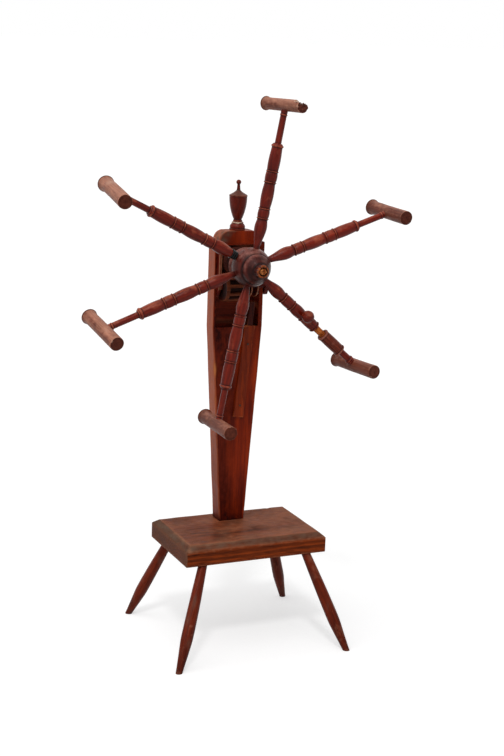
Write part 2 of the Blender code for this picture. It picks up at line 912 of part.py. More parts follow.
def spindle_outline(reach_share):
    """Stretches of the arm as shares of its bare length, hub to crossbar."""
    low, at = arm_start, spindle_places(reach_share)
    outline = spindle_start([])
    first_belly(outline, low, at[0])
    ring_pair(outline, at[0], at[1], inner_groove_share)
    barrel(outline, at[1], at[2])
    ring_pair(outline, at[2], at[3], outer_groove_share)
    barrel(outline, at[3], at[4])
    end_ring = arm_belly_radius * inner_groove_share
    outline += ring(at[4], at[5] - at[4], end_ring, arm_ring_rise)
    return spindle_end(outline, at[5], at[6], reach_share, arm_stem_radius)


def make_crossbar(name, parent, matrix, reach_share):
    """A turned bar across the arm's end, with a lip at its back that keeps the yarn on."""
    half = bar_length / 2
    outline = [(-half, bar_radius - bar_end_rounding / 2)]
    outline.append((-half + bar_end_rounding / 2, bar_radius))
    lip_low = half - bar_lip_width
    outline.append((lip_low - bar_lip_width / 2, bar_radius * bar_waist_share))
    outline.append((lip_low, bar_lip_radius))
    outline.append((half - bar_end_rounding / 2, bar_lip_radius))
    outline.append((half, bar_lip_radius - bar_end_rounding / 2))
    across = matrix @ Matrix.Translation((0.0, 0.0, reel_radius * reach_share)) @ along_y
    bar = turned(name, outline, bar_sides, bar_stain, parent, across)
    socket_low = reel_radius * reach_share - bar_radius - overrun
    socket_high = reel_radius * reach_share + bar_socket_past_centre
    tip_hole = hole_radius(arm_tip_tenon_radius, seat_gap)
    return bore_hole(bar, parent, matrix, socket_low, socket_high, tip_hole)


for arm_name, share in zip(arm_names, arm_reach_shares):
    if arm_name == "crank":
        continue
    frame = arm_frame(arm_name)
    turned("arm_" + arm_name, spindle_outline(share), arm_sides, arm_stain, frame, Matrix())
    make_crossbar("crossbar_" + arm_name, frame, Matrix(), share)


# Crank arm: its outer half folds on a knuckle, and a sleeve slides along it

crank_frame = arm_frame("crank")
fold_turns = empty("fold_turns", crank_frame, Matrix.Translation((0.0, 0.0, knuckle_reach)))
sleeve_slides = empty("sleeve_slides", fold_turns, Matrix())


def inner_crank_outline():
    at = [arm_start + (inner_arm_end - arm_start) * share for share in crank_ring_shares]
    outline = spindle_start([])
    first_belly(outline, arm_start, at[0])
    ring_pair(outline, at[0], at[1], inner_groove_share)
    barrel(outline, at[1], at[2])
    ring_pair(outline, at[2], inner_arm_end - arm_ring_width / 2, crank_groove_share)
    outline.append((inner_arm_end, arm_belly_radius * crank_end_share))
    outline.append((inner_arm_end, knuckle_radius))
    return outline + arc_points(knuckle_reach, knuckle_radius, 90, 12, ball_steps)


def make_inner_crank():
    outline = inner_crank_outline()
    arm = turned("crank_arm_inner", outline, arm_sides, arm_stain, crank_frame, Matrix())
    slot = tongue_thickness / 2 + seat_gap
    slot_low = (knuckle_reach + inner_arm_end) / 2 - knuckle_radius / 2
    wide = knuckle_radius + overrun
    slot_high = knuckle_reach + wide
    cut_box(arm, crank_frame, Matrix(), (-wide, -slot, slot_low), (wide, slot, slot_high))
    pin_line = Matrix.Translation((0.0, 0.0, knuckle_reach)) @ along_y
    pin_hole = hole_radius(knuckle_pin_radius, seat_gap, small_sides)
    bore_hole(arm, crank_frame, pin_line, -wide, wide, pin_hole, small_sides)
    knob_line = Matrix.Translation((0.0, 0.0, knob_reach)) @ facing_front
    knob_hole = hole_radius(knob_dowel_radius, seat_gap)
    high = arm_belly_radius + overrun
    return bore_hole(arm, crank_frame, knob_line, -knob_dowel_depth, high, knob_hole)


def outer_crank_outline():
    """Measured from the knuckle's pin: rounded tongue, long stem, collar and tenon."""
    high = crank_end - knuckle_reach
    outline = arc_points(0.0, knuckle_radius, 168, 90, ball_steps)
    outline += rod_outline(knuckle_shoulder, high - arm_collar_length, arm_stem_radius)
    outline += bead(high - arm_collar_length, arm_collar_length, arm_stem_radius, arm_ring_rise)
    tip = crank_reach + bar_socket_past_centre - seat_gap - knuckle_reach
    return outline + rod_outline(high, tip, arm_tip_tenon_radius)


def make_outer_crank():
    outline = outer_crank_outline()
    arm = turned("crank_arm_outer", outline, arm_sides, arm_stain, fold_turns, Matrix())
    tongue, wide = tongue_thickness / 2, knuckle_radius + overrun
    cut_box(arm, fold_turns, Matrix(), (-wide, -wide, -wide), (wide, -tongue, knuckle_shoulder))
    cut_box(arm, fold_turns, Matrix(), (-wide, tongue, -wide), (wide, wide, knuckle_shoulder))
    pin_hole = hole_radius(knuckle_pin_radius, seat_gap, small_sides)
    return bore_hole(arm, fold_turns, along_y, -wide, wide, pin_hole, small_sides)


def sleeve_outline():
    """A tube with a ring at each end, measured from the knuckle's pin."""
    low, high = sleeve_stand_off, sleeve_stand_off + sleeve_length
    rise = sleeve_ring_radius - sleeve_radius
    outline = bead(low, sleeve_ring_width, sleeve_radius, rise)
    return outline + bead(high - sleeve_ring_width, sleeve_ring_width, sleeve_radius, rise)


def knob_outline():
    """A ball on a short neck, heights measured forwards from the arm's axis."""
    neck_low = arm_belly_radius + arm_ring_rise
    outline = rod_outline(seat_gap - knob_dowel_depth, neck_low, knob_dowel_radius)
    outline.append((neck_low, knob_neck_radius))
    ball_centre = knob_stand_off + knob_radius / 2
    return outline + arc_points(ball_centre, knob_radius, 140, 8, knob_steps)


make_inner_crank()
make_outer_crank()
half_pin = knuckle_radius * pin_length_share
turned(
    "knuckle_pin",
    rod_outline(-half_pin, half_pin, knuckle_pin_radius),
    small_sides,
    nail_iron,
    crank_frame,
    Matrix.Translation((0.0, 0.0, knuckle_reach)) @ along_y,
)
turned(
    "locking_sleeve",
    sleeve_outline(),
    hole_sides,
    arm_stain,
    sleeve_slides,
    Matrix(),
    straight_bore(sleeve_outline(), hole_radius(arm_stem_radius, running_gap)),
)
crank_bar_frame = Matrix.Translation((0.0, 0.0, -knuckle_reach))
crank_reach_share = crank_reach / reel_radius
make_crossbar("crossbar_crank", fold_turns, crank_bar_frame, crank_reach_share)
turned(
    "crank_knob",
    knob_outline(),
    hole_sides,
    arm_stain,
    crank_frame,
    Matrix.Translation((0.0, 0.0, knob_reach)) @ facing_front,
)


# Mending band round the loose arm's root: a wrapped collar that follows the arm's swelling


def band_lining():
    """The part of the arm's own first belly that the band covers, eased outwards by the gap."""
    share = arm_reach_shares[arm_names.index("upper_left")]
    arm = first_belly([], arm_start, spindle_places(share)[0])
    heights = (band_start, band_start + band_width / 2, band_start + band_width)
    return [(h, hole_radius(radius_at(arm, h), seat_gap)) for h in heights]


def radius_at(outline, height):
    """The outline's radius at a height, read between its two nearest points."""
    for (low, low_radius), (high, high_radius) in zip(outline, outline[1:]):
        if low <= height <= high:
            return low_radius + (high_radius - low_radius) * (height - low) / (high - low)
    return outline[-1][1]


def band_outline(lining):
    rounding = band_thickness / 2
    outline = [(lining[0][0], lining[0][1] + rounding)]
    outline.append((lining[0][0] + rounding, lining[0][1] + band_thickness))
    outline.append((lining[1][0], lining[1][1] + band_thickness))
    outline.append((lining[-1][0] - rounding, lining[-1][1] + band_thickness))
    return outline + [(lining[-1][0], lining[-1][1] + rounding)]


turned(
    "mending_band",
    band_outline(band_lining()),
    hole_sides,
    black_band,
    arm_frame("upper_left"),
    Matrix(),
    band_lining(),
)


# Axle: turned in one piece with the worm core, threaded, split and wedged at its front end


def axle_outline():
    """Heights run backwards from the reel's plane."""
    front = -hub_nose_reach - axle_end_proud
    hub_back = hub_back_reach + seat_gap
    core_low = arbor_y - reel_plane - tooth_pitch * (thread_turns + wheel_gap_share * 2) / 2
    core_high = pocket_floor - reel_plane - end_play * 2
    tail = post_back + bearing_depth - reel_plane + axle_tail
    outline = [(front, axle_radius * axle_end_share), (front + axle_end_proud, axle_radius)]
    outline += [(hub_back, axle_radius), (hub_back, axle_neck_radius)]
    outline += [(core_low, axle_neck_radius), (core_low, worm_core_radius)]
    outline += [(core_high, worm_core_radius), (core_high, journal_radius)]
    return outline + [(tail - axle_end_proud, journal_radius), (tail, journal_radius * axle_end_share)]


def thread_mesh():
    """Sweep the thread's section along a right-handed helix, cut down to nothing at both ends."""
    steps = round(thread_turns * thread_steps)
    sunk_radius = worm_core_radius - tooth_addendum / 2
    middle = arbor_y - reel_plane
    bottom_crest = middle + tooth_pitch * wheel_gap_share
    slope = math.tan(pressure_angle)
    shape = bmesh.new()
    rings = []
    for k in range(steps + 1):
        share = k / steps
        axial = middle + tooth_pitch * thread_turns * (share - 1 / 2)
        angle = math.pi + 2 * math.pi * (axial - bottom_crest) / tooth_pitch
        grown = min(1.0, thread_start_share + min(share, 1 - share) / thread_taper_share)
        crest = sunk_radius + (worm_crest_radius - sunk_radius) * grown
        ring = []
        for side, radius in ((-1, sunk_radius), (-1, crest), (1, crest), (1, sunk_radius)):
            half = half_tooth + (worm_pitch_radius - radius) * slope
            x, y = radius * math.sin(angle), -radius * math.cos(angle)
            ring.append(shape.verts.new((x, y, axial + side * half)))
        rings.append(ring)
    for near, far in zip(rings, rings[1:]):
        for k in range(4):
            shape.faces.new((near[k], near[k - 3], far[k - 3], far[k]))
    shape.faces.new(rings[0])
    shape.faces.new(reversed(rings[-1]))
    bmesh.ops.recalc_face_normals(shape, faces=shape.faces)
    mesh = bpy.data.meshes.new("thread")
    shape.to_mesh(mesh)
    shape.free()
    return mesh


axle = turned("reel_axle", axle_outline(), hub_sides, works_wood, reel, along_y)
combine(axle, place("thread", thread_mesh(), reel, along_y), "UNION")
wedge_slot = wedge_thickness / 2 + seat_gap
slot_front = -hub_nose_reach - axle_end_proud - overrun
slot_back = -hub_nose_reach - axle_end_proud + wedge_depth
cut_box(
    axle,
    reel,
    Matrix(),
    (-wedge_slot, slot_front, -axle_radius - overrun),
    (wedge_slot, slot_back, axle_radius + overrun),
)
peg_place = bearing_back - reel_plane + peg_radius + end_play
peg_line = Matrix.Translation((0.0, peg_place, 0.0))
peg_reach = journal_radius + overrun
peg_hole = hole_radius(peg_radius, seat_gap, small_sides)
bore_hole(axle, reel, peg_line, -peg_reach, peg_reach, peg_hole, small_sides)
peg_outline = rod_outline(-peg_length / 2, peg_length / 2, peg_radius)
turned("axle_peg", peg_outline, small_sides, bare_wood, reel, peg_line)
place(
    "axle_wedge",
    box_mesh(
        "axle_wedge",
        (-wedge_thickness / 2, slot_front + overrun, -wedge_width / 2),
        (wedge_thickness / 2, slot_back - seat_gap, wedge_width / 2),
    ),
    reel,
    Matrix(),
    bare_wood,
)


# Counting wheel: involute teeth on a drum, a plain flange beside them, and its arbor


def wheel_outline():
    """The toothed outline as (x, z) points, with a gap standing wheel_gap_share past the top."""
    base = wheel_pitch_radius * math.cos(pressure_angle)
    root = wheel_pitch_radius - tooth_dedendum
    tip = wheel_pitch_radius + tooth_addendum
    involute = math.tan(pressure_angle) - pressure_angle
    half_at_pitch = half_tooth / wheel_pitch_radius
    flank = []
    for k in range(flank_steps + 1):
        radius = base + (tip - base) * k / flank_steps
        slant = math.acos(min(1.0, base / radius))
        half = half_at_pitch + involute - (math.tan(slant) - slant)
        flank.append((radius, half))
    flank = [(root, flank[0][1] * tooth_root_share)] + flank
    points = []
    for tooth in range(wheel_teeth):
        middle = 2 * math.pi * (tooth + 1 / 2 + wheel_gap_share) / wheel_teeth
        for radius, half in flank:
            points.append((radius, middle - half))
        for radius, half in reversed(flank):
            points.append((radius, middle + half))
    return [(radius * math.sin(a), radius * math.cos(a)) for radius, a in points]


wheel_left = -axle_offset - wheel_width / 2
flange_left = wheel_left - wheel_flange_width
stand_across = Matrix.Rotation(math.radians(90), 4, "Z")
wheel = place(
    "count_wheel",
    prism_mesh("count_wheel", wheel_outline(), -wheel_left - wheel_width, -wheel_left),
    arbor_frame,
    stand_across,
    works_wood,
)
flange_outline = rod_outline(flange_left, wheel_left + seat_gap, wheel_flange_radius)
flange = place("flange", turned_mesh("flange", flange_outline, hub_sides), arbor_frame, along_x)
combine(wheel, flange, "UNION")
arbor_hole = hole_radius(arbor_radius, seat_gap)
bore_hole(
    wheel,
    arbor_frame,
    along_x,
    flange_left - overrun,
    wheel_left + wheel_width + overrun,
    arbor_hole,
)


def arbor_outline():
    """Left pivot, shaft, two thin discs and right pivot."""
    left_end = left_bracket_left + seat_gap
    left_shoulder = left_bracket_left + left_bracket_thickness + running_gap
    right_shoulder = pocket_right - end_play
    right_end = right_bracket_left + right_bracket_thickness
    outline = rod_outline(left_end, left_shoulder, arbor_pivot_radius)
    outline.append((left_shoulder, arbor_radius))
    for place_x in (disc_inner_place, disc_outer_place):
        low, high = place_x - disc_thickness / 2, place_x + disc_thickness / 2
        edge = disc_radius * disc_edge_share
        outline += [(low, arbor_radius), (low, edge), (place_x, disc_radius)]
        outline += [(high, edge), (high, arbor_radius)]
    outline.append((right_shoulder, arbor_radius))
    return outline + rod_outline(right_shoulder, right_end, arbor_pivot_radius)


arbor = turned("wheel_arbor", arbor_outline(), bar_sides, works_wood, arbor_frame, along_x)
pin_place = disc_outer_place - disc_thickness / 2 - trip_pin_radius - seat_gap
pin_turn = Matrix.Rotation(trip_pin_turn, 4, "X")
pin_line = Matrix.Translation((pin_place, 0.0, 0.0)) @ pin_turn
pin_hole = hole_radius(trip_pin_radius, seat_gap, small_sides)
pin_low, pin_high = -trip_pin_foot - seat_gap, arbor_radius + overrun
bore_hole(arbor, arbor_frame, pin_line, pin_low, pin_high, pin_hole, small_sides)
pin_outline = rod_outline(-trip_pin_foot, trip_pin_reach, trip_pin_radius)
turned("trip_pin", pin_outline, small_sides, bare_wood, arbor_frame, pin_line)


# Set the whole reel over the middle of its own footprint box, standing on Z = 0


def centre_on_origin():
    bpy.context.view_layer.update()
    corners = []
    for obj in bpy.data.objects:
        if obj.type == "MESH":
            corners += [obj.matrix_world @ vertex.co for vertex in obj.data.vertices]
    low = Vector([min(corner[axis] for corner in corners) for axis in range(3)])
    high = Vector([max(corner[axis] for corner in corners) for axis in range(3)])
    middle = (low + high) / 2
    stand.location = (-middle.x, -middle.y, -low.z)
    bpy.context.view_layer.update()


centre_on_origin()
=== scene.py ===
"""Looks of the six-arm clock reel: worn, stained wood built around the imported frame.

Places are in metres. The outlines of turned pieces are in millimetres: rows of a height along the
piece's axis and the radius there.
"""

import json
import math
from functools import partial

import bmesh
import bpy
import numpy as np
from mathutils import Matrix, Vector


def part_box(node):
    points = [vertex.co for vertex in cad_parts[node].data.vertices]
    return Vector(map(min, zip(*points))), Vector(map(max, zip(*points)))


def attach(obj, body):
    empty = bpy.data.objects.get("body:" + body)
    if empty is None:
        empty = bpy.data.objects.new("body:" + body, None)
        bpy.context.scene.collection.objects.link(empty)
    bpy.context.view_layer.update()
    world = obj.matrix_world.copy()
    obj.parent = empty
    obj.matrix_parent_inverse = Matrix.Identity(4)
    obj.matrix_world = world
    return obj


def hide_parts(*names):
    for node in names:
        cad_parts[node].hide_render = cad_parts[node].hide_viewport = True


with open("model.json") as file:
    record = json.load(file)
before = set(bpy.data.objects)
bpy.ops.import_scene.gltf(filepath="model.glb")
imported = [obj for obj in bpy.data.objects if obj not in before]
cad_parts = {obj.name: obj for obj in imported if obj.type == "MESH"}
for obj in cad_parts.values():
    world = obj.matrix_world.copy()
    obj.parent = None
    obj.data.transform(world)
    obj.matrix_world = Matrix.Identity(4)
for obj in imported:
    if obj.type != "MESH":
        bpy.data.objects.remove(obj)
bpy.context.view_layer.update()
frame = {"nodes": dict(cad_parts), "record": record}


# The room: a pale floor that runs on out of sight under an even white backdrop, lit from the upper
# left by a very broad lamp and a small one, with a plain fill from all round. The camera stands a
# little to the reel's left, at the height of its finial, tipped by two degrees.

def feed(tree, node, inputs):
    """Sets a node's inputs, given as {socket: a value or another node's output}."""
    for socket, value in inputs.items():
        if isinstance(value, bpy.types.NodeSocket):
            tree.links.new(value, node.inputs[socket])
        else:
            node.inputs[socket].default_value = value
    return node


def add_node(tree, kind, inputs=None, **settings):
    made = tree.nodes.new(kind)
    for name, value in settings.items():
        setattr(made, name, value)
    return feed(tree, made, inputs or {})


def calc(tree, operation, *values, clamp=False):
    made = add_node(tree, "ShaderNodeMath", dict(enumerate(values)), operation=operation)
    made.use_clamp = clamp
    return made.outputs[0]


def white_rays(tree):
    """1 for rays that see the backdrop itself: from the camera, in gloss and through glass."""
    path = add_node(tree, "ShaderNodeLightPath").outputs
    seen = calc(tree, "ADD", path["Is Camera Ray"], path["Is Glossy Ray"])
    return calc(tree, "ADD", seen, path["Is Transmission Ray"], clamp=True)


def new_finish(name):
    """A new material, with its node tree and its surface shader."""
    material = bpy.data.materials.new(name)
    material.use_nodes = True
    return material, material.node_tree, material.node_tree.nodes["Principled BSDF"]


def turned(axis, degrees):
    return Matrix.Rotation(math.radians(degrees), 4, axis)


def put_in(name, data):
    """A new object in the scene."""
    made = bpy.data.objects.new(name, data)
    bpy.context.scene.collection.objects.link(made)
    return made


white = (1.0, 1.0, 1.0, 1.0)
fill_light = 0.38
backdrop = bpy.data.worlds.new("white_backdrop")
backdrop.use_nodes = True
tree = backdrop.node_tree
strength = calc(tree, "MULTIPLY_ADD", white_rays(tree), 1.0 - fill_light, fill_light)
feed(tree, tree.nodes["Background"], {"Color": white, "Strength": strength})
bpy.context.scene.world = backdrop
bpy.context.scene.view_settings.view_transform = "Standard"

floor_reach, floor_grey, floor_glow = 70.0, 0.56, 0.53
corners = [(x * floor_reach, y * floor_reach, 0) for x, y in ((-1, -1), (1, -1), (1, 1), (-1, 1))]
floor_mesh = bpy.data.meshes.new("pale_floor")
floor_mesh.from_pydata(corners, [], [(0, 1, 2, 3)])
pale_floor = put_in("pale_floor", floor_mesh)
floor_finish, tree, matt = new_finish("pale_floor")
feed(tree, matt, {"Base Color": (floor_grey, floor_grey, floor_grey, 1.0), "Roughness": 0.95,
                  "Specular IOR Level": 0.0})
lift = calc(tree, "MULTIPLY", white_rays(tree), floor_glow)
glow = add_node(tree, "ShaderNodeEmission", {"Color": white, "Strength": lift})
both = add_node(tree, "ShaderNodeAddShader", {0: matt.outputs[0], 1: glow.outputs[0]})
feed(tree, tree.nodes["Material Output"], {"Surface": both.outputs[0]})
floor_mesh.materials.append(floor_finish)

for name, strength, spread_angle, lamp_from in (
        ("broad_soft_lamp", 1.4, 70, (-0.62, -0.34, 1.05)),
        ("window_lamp", 0.8, 8, (-0.36, -0.66, 1.0))):
    lamp = bpy.data.lights.new(name, "SUN")
    lamp.energy, lamp.angle = strength, math.radians(spread_angle)
    put_in(name, lamp).rotation_euler = Vector(lamp_from).to_track_quat("Z", "Y").to_euler()

view_place = (-1.11193, -2.52131, 1.14455)
view_side, view_rise, view_roll = -24.3895, 13.1331, 2.0166
camera = put_in("camera", bpy.data.cameras.new("camera"))
camera.data.sensor_width = 36.0
camera.data.lens = 73.057
camera.data.clip_end = 400.0
camera.matrix_world = (
    Matrix.Translation(view_place) @ turned("Z", view_side) @ turned("X", 90 - view_rise)
    @ turned("Z", view_roll))
bpy.context.scene.camera = camera


# The plank: one thick board of coarse-grained wood, stained dark, its top edges planed to wide
# slanting flats. Handling has worn the stain on its arrises, and dust has settled in the pores.
# Its top is painted lighter and cleaner towards the right: a painted highlight.

record_bodies = frame["record"]["behaviour"]["bodies"]


def stain(red, green, blue):
    """A colour read on the usual 0 to 255 scale, as the shader's own linear values."""
    parts = np.array([red, green, blue]) / 255
    linear = np.where(parts > 0.04045, ((parts + 0.055) / 1.055) ** 2.4, parts / 12.92)
    return (*linear.tolist(), 1.0)


def held(value):
    return np.clip(value, 0, 1)


def ramp(value, start, length):
    """From 0 at the start evenly up to 1 over the length, which is minus to go backwards."""
    return held((value - start) / length)


def bell(value, middle, reach):
    """1 at the middle, fading by a bell curve to about a third at the reach."""
    return np.exp(-((value - middle) / reach) ** 2)


def ripple(points, size, seed, waves=14):
    """Smooth bumps about `size` long: a sum of plane sine waves in seeded random directions."""
    chance = np.random.default_rng(seed)
    heading = chance.normal(size=(waves, 3))
    heading *= (2 * np.pi / size) / np.linalg.norm(heading, axis=1, keepdims=True)
    phase = chance.uniform(0, 2 * np.pi, waves)
    return np.sin(points @ heading.T + phase).sum(-1) * np.sqrt(1 / waves)


def joined(*lines):
    return np.concatenate(lines)


def paired(high, wide):
    """A line of points from their heights and their widths."""
    return np.stack([high, wide], axis=1)


def swelling(path, reach):
    """How far each point of a line of (height, width) points stands out of its own smoothed line.

    The line is read at even steps, each step is averaged with its neighbours within reach by a
    bell curve, and the difference is taken along the outward normal: + on ridges, - in hollows.
    """
    steps, beside = 1200, 60
    along = np.r_[0, np.cumsum(np.linalg.norm(np.diff(path, axis=0), axis=1))]
    even = np.linspace(0, along[-1], steps)
    line = paired(*(np.interp(even, along, path[:, k]) for k in (0, 1)))
    away = np.arange(-beside, beside + 1) * (along[-1] / (steps - 1)) / reach
    weight = np.exp(-0.5 * away ** 2)
    weight /= weight.sum()
    padded = np.pad(line, ((beside, beside), (0, 0)), mode="reflect", reflect_type="odd")
    smooth = paired(*(np.convolve(padded[:, k], weight, mode="valid") for k in (0, 1)))
    heading = np.gradient(smooth, axis=0)
    outward = paired(-heading[:, 1], heading[:, 0])
    outward /= np.maximum(np.linalg.norm(outward, axis=1, keepdims=True), 1e-12)
    return np.interp(along, even, ((line - smooth) * outward).sum(1))


def skin(name, grid, ring_closed=False):
    """A mesh over a grid of points, whose rows go along the piece and whose columns go round it.

    Each square of four neighbours is a face. The end rows are closed flat, or, for a piece with a
    bore, the last row joins the first.
    """
    rows, columns = grid.shape[:2]
    last = rows if ring_closed else rows - 1
    row, column = np.meshgrid(np.arange(last), np.arange(columns), indexing="ij")
    here, beside = row * columns + column, row * columns + (column + 1) % columns
    step = (row + 1) % rows * columns - row * columns
    faces = np.stack([here, beside, beside + step, here + step], axis=-1).reshape(-1, 4).tolist()
    if not ring_closed:
        faces.append(list(range(columns))[::-1])
        faces.append(list(range((rows - 1) * columns, rows * columns)))
    mesh = bpy.data.meshes.new(name)
    mesh.from_pydata(grid.reshape(-1, 3).tolist(), [], faces)
    return mesh


def give_marks(mesh, place, wear=0.0, dirt=0.0, bare=0.0, dust=0.0):
    """Writes each point's place in its wood's grain and how worn, dirty, bare and dusty it is.
    In places the wear mark also holds a painted highlight, the dirt mark painted shade and the dust
    mark a painted sheen.
    """
    def write(name, kind, field, value):
        made = mesh.attributes.new(name, kind, "POINT")
        made.data.foreach_set(field, np.ascontiguousarray(value, np.float32).ravel())

    write("grain_place", "FLOAT_VECTOR", "vector", place)
    for name, value in (("wear", wear), ("dirt", dirt), ("bare", bare), ("dust", dust)):
        write(name, "FLOAT", "value", np.broadcast_to(value, place.shape[:-1]))


def stand_for(mesh, node, material):
    """The piece that stands for a CAD node, smooth but for its sharp edges."""
    sharp_from = math.radians(35)
    mesh.materials.clear()
    mesh.materials.append(material)
    mesh.shade_smooth()
    mesh.set_sharp_from_angle(angle=sharp_from)
    piece = put_in("worn_" + node, mesh)
    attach(piece, next(body for body, nodes in record_bodies.items() if node in nodes))
    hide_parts(node)


def finished(mesh, node, material, place, *marks):
    """The piece with its marks written in, each from 0 to 1: wear and painted highlights, dirt and
    painted shade, bare wood, and dust and painted sheen.
    """
    give_marks(mesh, place, *map(held, marks))
    stand_for(mesh, node, material)


def blend(tree, share, a, b, **settings):
    inputs = {0: share, 6: a, 7: b}
    return add_node(tree, "ShaderNodeMix", inputs, data_type="RGBA", **settings).outputs[2]


def speckle(tree, place, stretch, scale, detail):
    """Noise drawn out along the grain, by squeezing the place's third number."""
    drawn = add_node(tree, "ShaderNodeVectorMath", {0: place, 1: (1.0, 1.0, stretch)},
                     operation="MULTIPLY").outputs[0]
    return add_node(tree, "ShaderNodeTexNoise",
                    {"Vector": drawn, "Scale": scale, "Detail": detail}).outputs["Fac"]


def spread(tree, value, low, high, to_low=0.0, to_high=1.0):
    """The value from low to high, spread over another range and held inside it."""
    inputs = {0: value, 1: low, 2: high, 3: to_low, 4: to_high}
    return add_node(tree, "ShaderNodeMapRange", inputs).outputs[0]


def make_aged_wood():
    """Stained wood that has been handled for two lifetimes, as one group for all of its stains.

    Growth rings are circles about a pith beside the piece, waved by slow noise. Streaks and pores
    are noise drawn out along the grain. Wear, and the painted highlights that share its input, let
    a paler colour through where its value and a mottling noise are high; dirt darkens hollows, and
    the painted shade that shares its input darkens shaded places; dust, with a painted sheen in it,
    greys the colour; and bare places show raw wood.
    """
    group = bpy.data.node_groups.new("aged_wood", "ShaderNodeTree")
    for in_out, kind, names in (
            ("INPUT", "Vector", "Place"), ("INPUT", "Color", "Dark, Body, Rubbed, Raw"),
            ("INPUT", "Float", "Wear, Dirt, Bare, Dust, Ring Width, Ring Depth, Streaks, "
                               "Streak Scale, Pores, Base Roughness"),
            ("OUTPUT", "Color", "Colour"), ("OUTPUT", "Float", "Roughness, Height")):
        for name in names.split(", "):
            group.interface.new_socket(name, in_out=in_out, socket_type="NodeSocket" + kind)
    given = add_node(group, "NodeGroupInput").outputs
    place = given["Place"]
    work, noise, ranged, mixed = (partial(step, group) for step in (calc, speckle, spread, blend))

    def vector(operation, *values):
        return add_node(group, "ShaderNodeVectorMath", dict(enumerate(values)),
                        operation=operation).outputs

    def uneven(pattern, weight, base):
        """The base with a pattern's ups and downs about its middle added."""
        return work("MULTIPLY_ADD", work("SUBTRACT", pattern, 0.5), weight, base)

    def added(total, patterns):
        for pattern, weight in patterns:
            total = work("ADD", total, work("MULTIPLY", pattern, weight))
        return total

    def between(value, low, high):
        return work("MAXIMUM", work("MINIMUM", value, high), low)

    def patchy(mark, low, high, least):
        """A mark, thinned to its least share where the mottling is low."""
        share = ranged(mottle, low, high, least, 1.0)
        return work("MULTIPLY", given[mark], share, clamp=True)

    pith, ring_stretch, ring_wave = (0.031, 0.047, 0.0), 0.012, 0.016
    pore_tint, dust_colour = (0.3, 0.27, 0.25, 1.0), stain(100, 79, 66)
    flat = vector("MULTIPLY", place, (1.0, 1.0, ring_stretch))[0]
    radius = vector("LENGTH", vector("ADD", flat, pith)[0])["Value"]
    waved = work("MULTIPLY_ADD", noise(place, 0.14, 26.0, 2.0), ring_wave, radius)
    ring = ranged(work("PINGPONG", work("DIVIDE", waved, given["Ring Width"]), 1.0), 0.25, 1.0)
    streak = noise(place, 0.05, given["Streak Scale"], 3.0)
    fine_streak = noise(place, 0.03, 1300.0, 2.0)
    pore = work("MULTIPLY", ranged(noise(place, 0.035, 900.0, 1.0), 0.57, 0.68), given["Pores"])
    blotch = noise(place, 0.4, 24.0, 4.0)
    mottle = noise(place, 0.6, 150.0, 4.0)

    tone = added(uneven(blotch, 1.3, 0.5), [
        (work("SUBTRACT", pattern, 0.5), weight) for pattern, weight in (
            (streak, given["Streaks"]), (fine_streak, work("MULTIPLY", given["Streaks"], 0.35)),
            (ring, given["Ring Depth"]))])
    colour = mixed(between(tone, 0.0, 1.0), given["Dark"], given["Body"])
    deep = mixed(1.0, given["Dark"], pore_tint, blend_type="MULTIPLY")
    colour = mixed(pore, colour, deep)
    # The wear input lightens here, and with it the painted highlights that share that input.
    rub_and_highlight = ranged(uneven(mottle, 1.3, given["Wear"]), 0.3, 0.95)
    left_in_grain = ranged(streak, 0.3, 0.7, 0.45, 0.0)
    colour = mixed(rub_and_highlight, colour, mixed(left_in_grain, given["Rubbed"], colour))
    grime_and_shade = patchy("Dirt", 0.25, 0.6, 0.55)
    settled_dust_and_sheen = patchy("Dust", 0.3, 0.62, 0.55)
    bare = patchy("Bare", 0.3, 0.46, 0.75)
    raw = mixed(ranged(streak, 0.35, 0.65, 0.0, 0.55), given["Raw"], given["Dark"])
    for share, over in ((grime_and_shade, deep), (settled_dust_and_sheen, dust_colour), (bare, raw)):
        colour = mixed(share, colour, over)

    rough = added(uneven(mottle, 0.34, given["Base Roughness"]), (
        (pore, 0.22), (grime_and_shade, 0.22), (rub_and_highlight, 0.08), (settled_dust_and_sheen, 0.25), (bare, 0.25)))
    height = added(work("MULTIPLY", ring, 0.00003), (
        (streak, 0.00022), (fine_streak, 0.0001), (pore, -0.00016), (mottle, 0.00012),
        (bare, -0.00025)))
    add_node(group, "NodeGroupOutput", {
        "Colour": colour, "Roughness": between(rough, 0.18, 0.92), "Height": height})
    return group


aged_wood = make_aged_wood()


def stained_wood(name, dark, body, rubbed, raw=(196, 120, 66), ring=0.003, ring_depth=0.25,
                 streaks=0.9, streak_scale=300.0, pores=0.4, roughness=0.36, relief=1.0,
                 gloss=0.1):
    """One stain of the aged wood: its four colours, its grain and how much it shines."""
    material, tree, shader = new_finish(name)
    inputs = {"Ring Width": ring, "Ring Depth": ring_depth, "Streaks": streaks,
              "Streak Scale": streak_scale, "Pores": pores, "Base Roughness": roughness}
    for colour, socket in ((dark, "Dark"), (body, "Body"), (rubbed, "Rubbed"), (raw, "Raw")):
        inputs[socket] = stain(*colour)
    for mark, output in (("grain_place", "Vector"), ("wear", "Fac"), ("dirt", "Fac"),
                         ("bare", "Fac"), ("dust", "Fac")):
        read = add_node(tree, "ShaderNodeAttribute", attribute_name=mark)
        inputs[mark.split("_")[-1].capitalize()] = read.outputs[output]
    grain = add_node(tree, "ShaderNodeGroup", node_tree=aged_wood)
    grain = feed(tree, grain, inputs).outputs
    bump = add_node(tree, "ShaderNodeBump", {
        "Strength": relief, "Distance": 1.0, "Height": grain["Height"]})
    feed(tree, shader, {
        "Base Color": grain["Colour"], "Roughness": grain["Roughness"],
        "Normal": bump.outputs["Normal"], "Specular IOR Level": gloss})
    return material


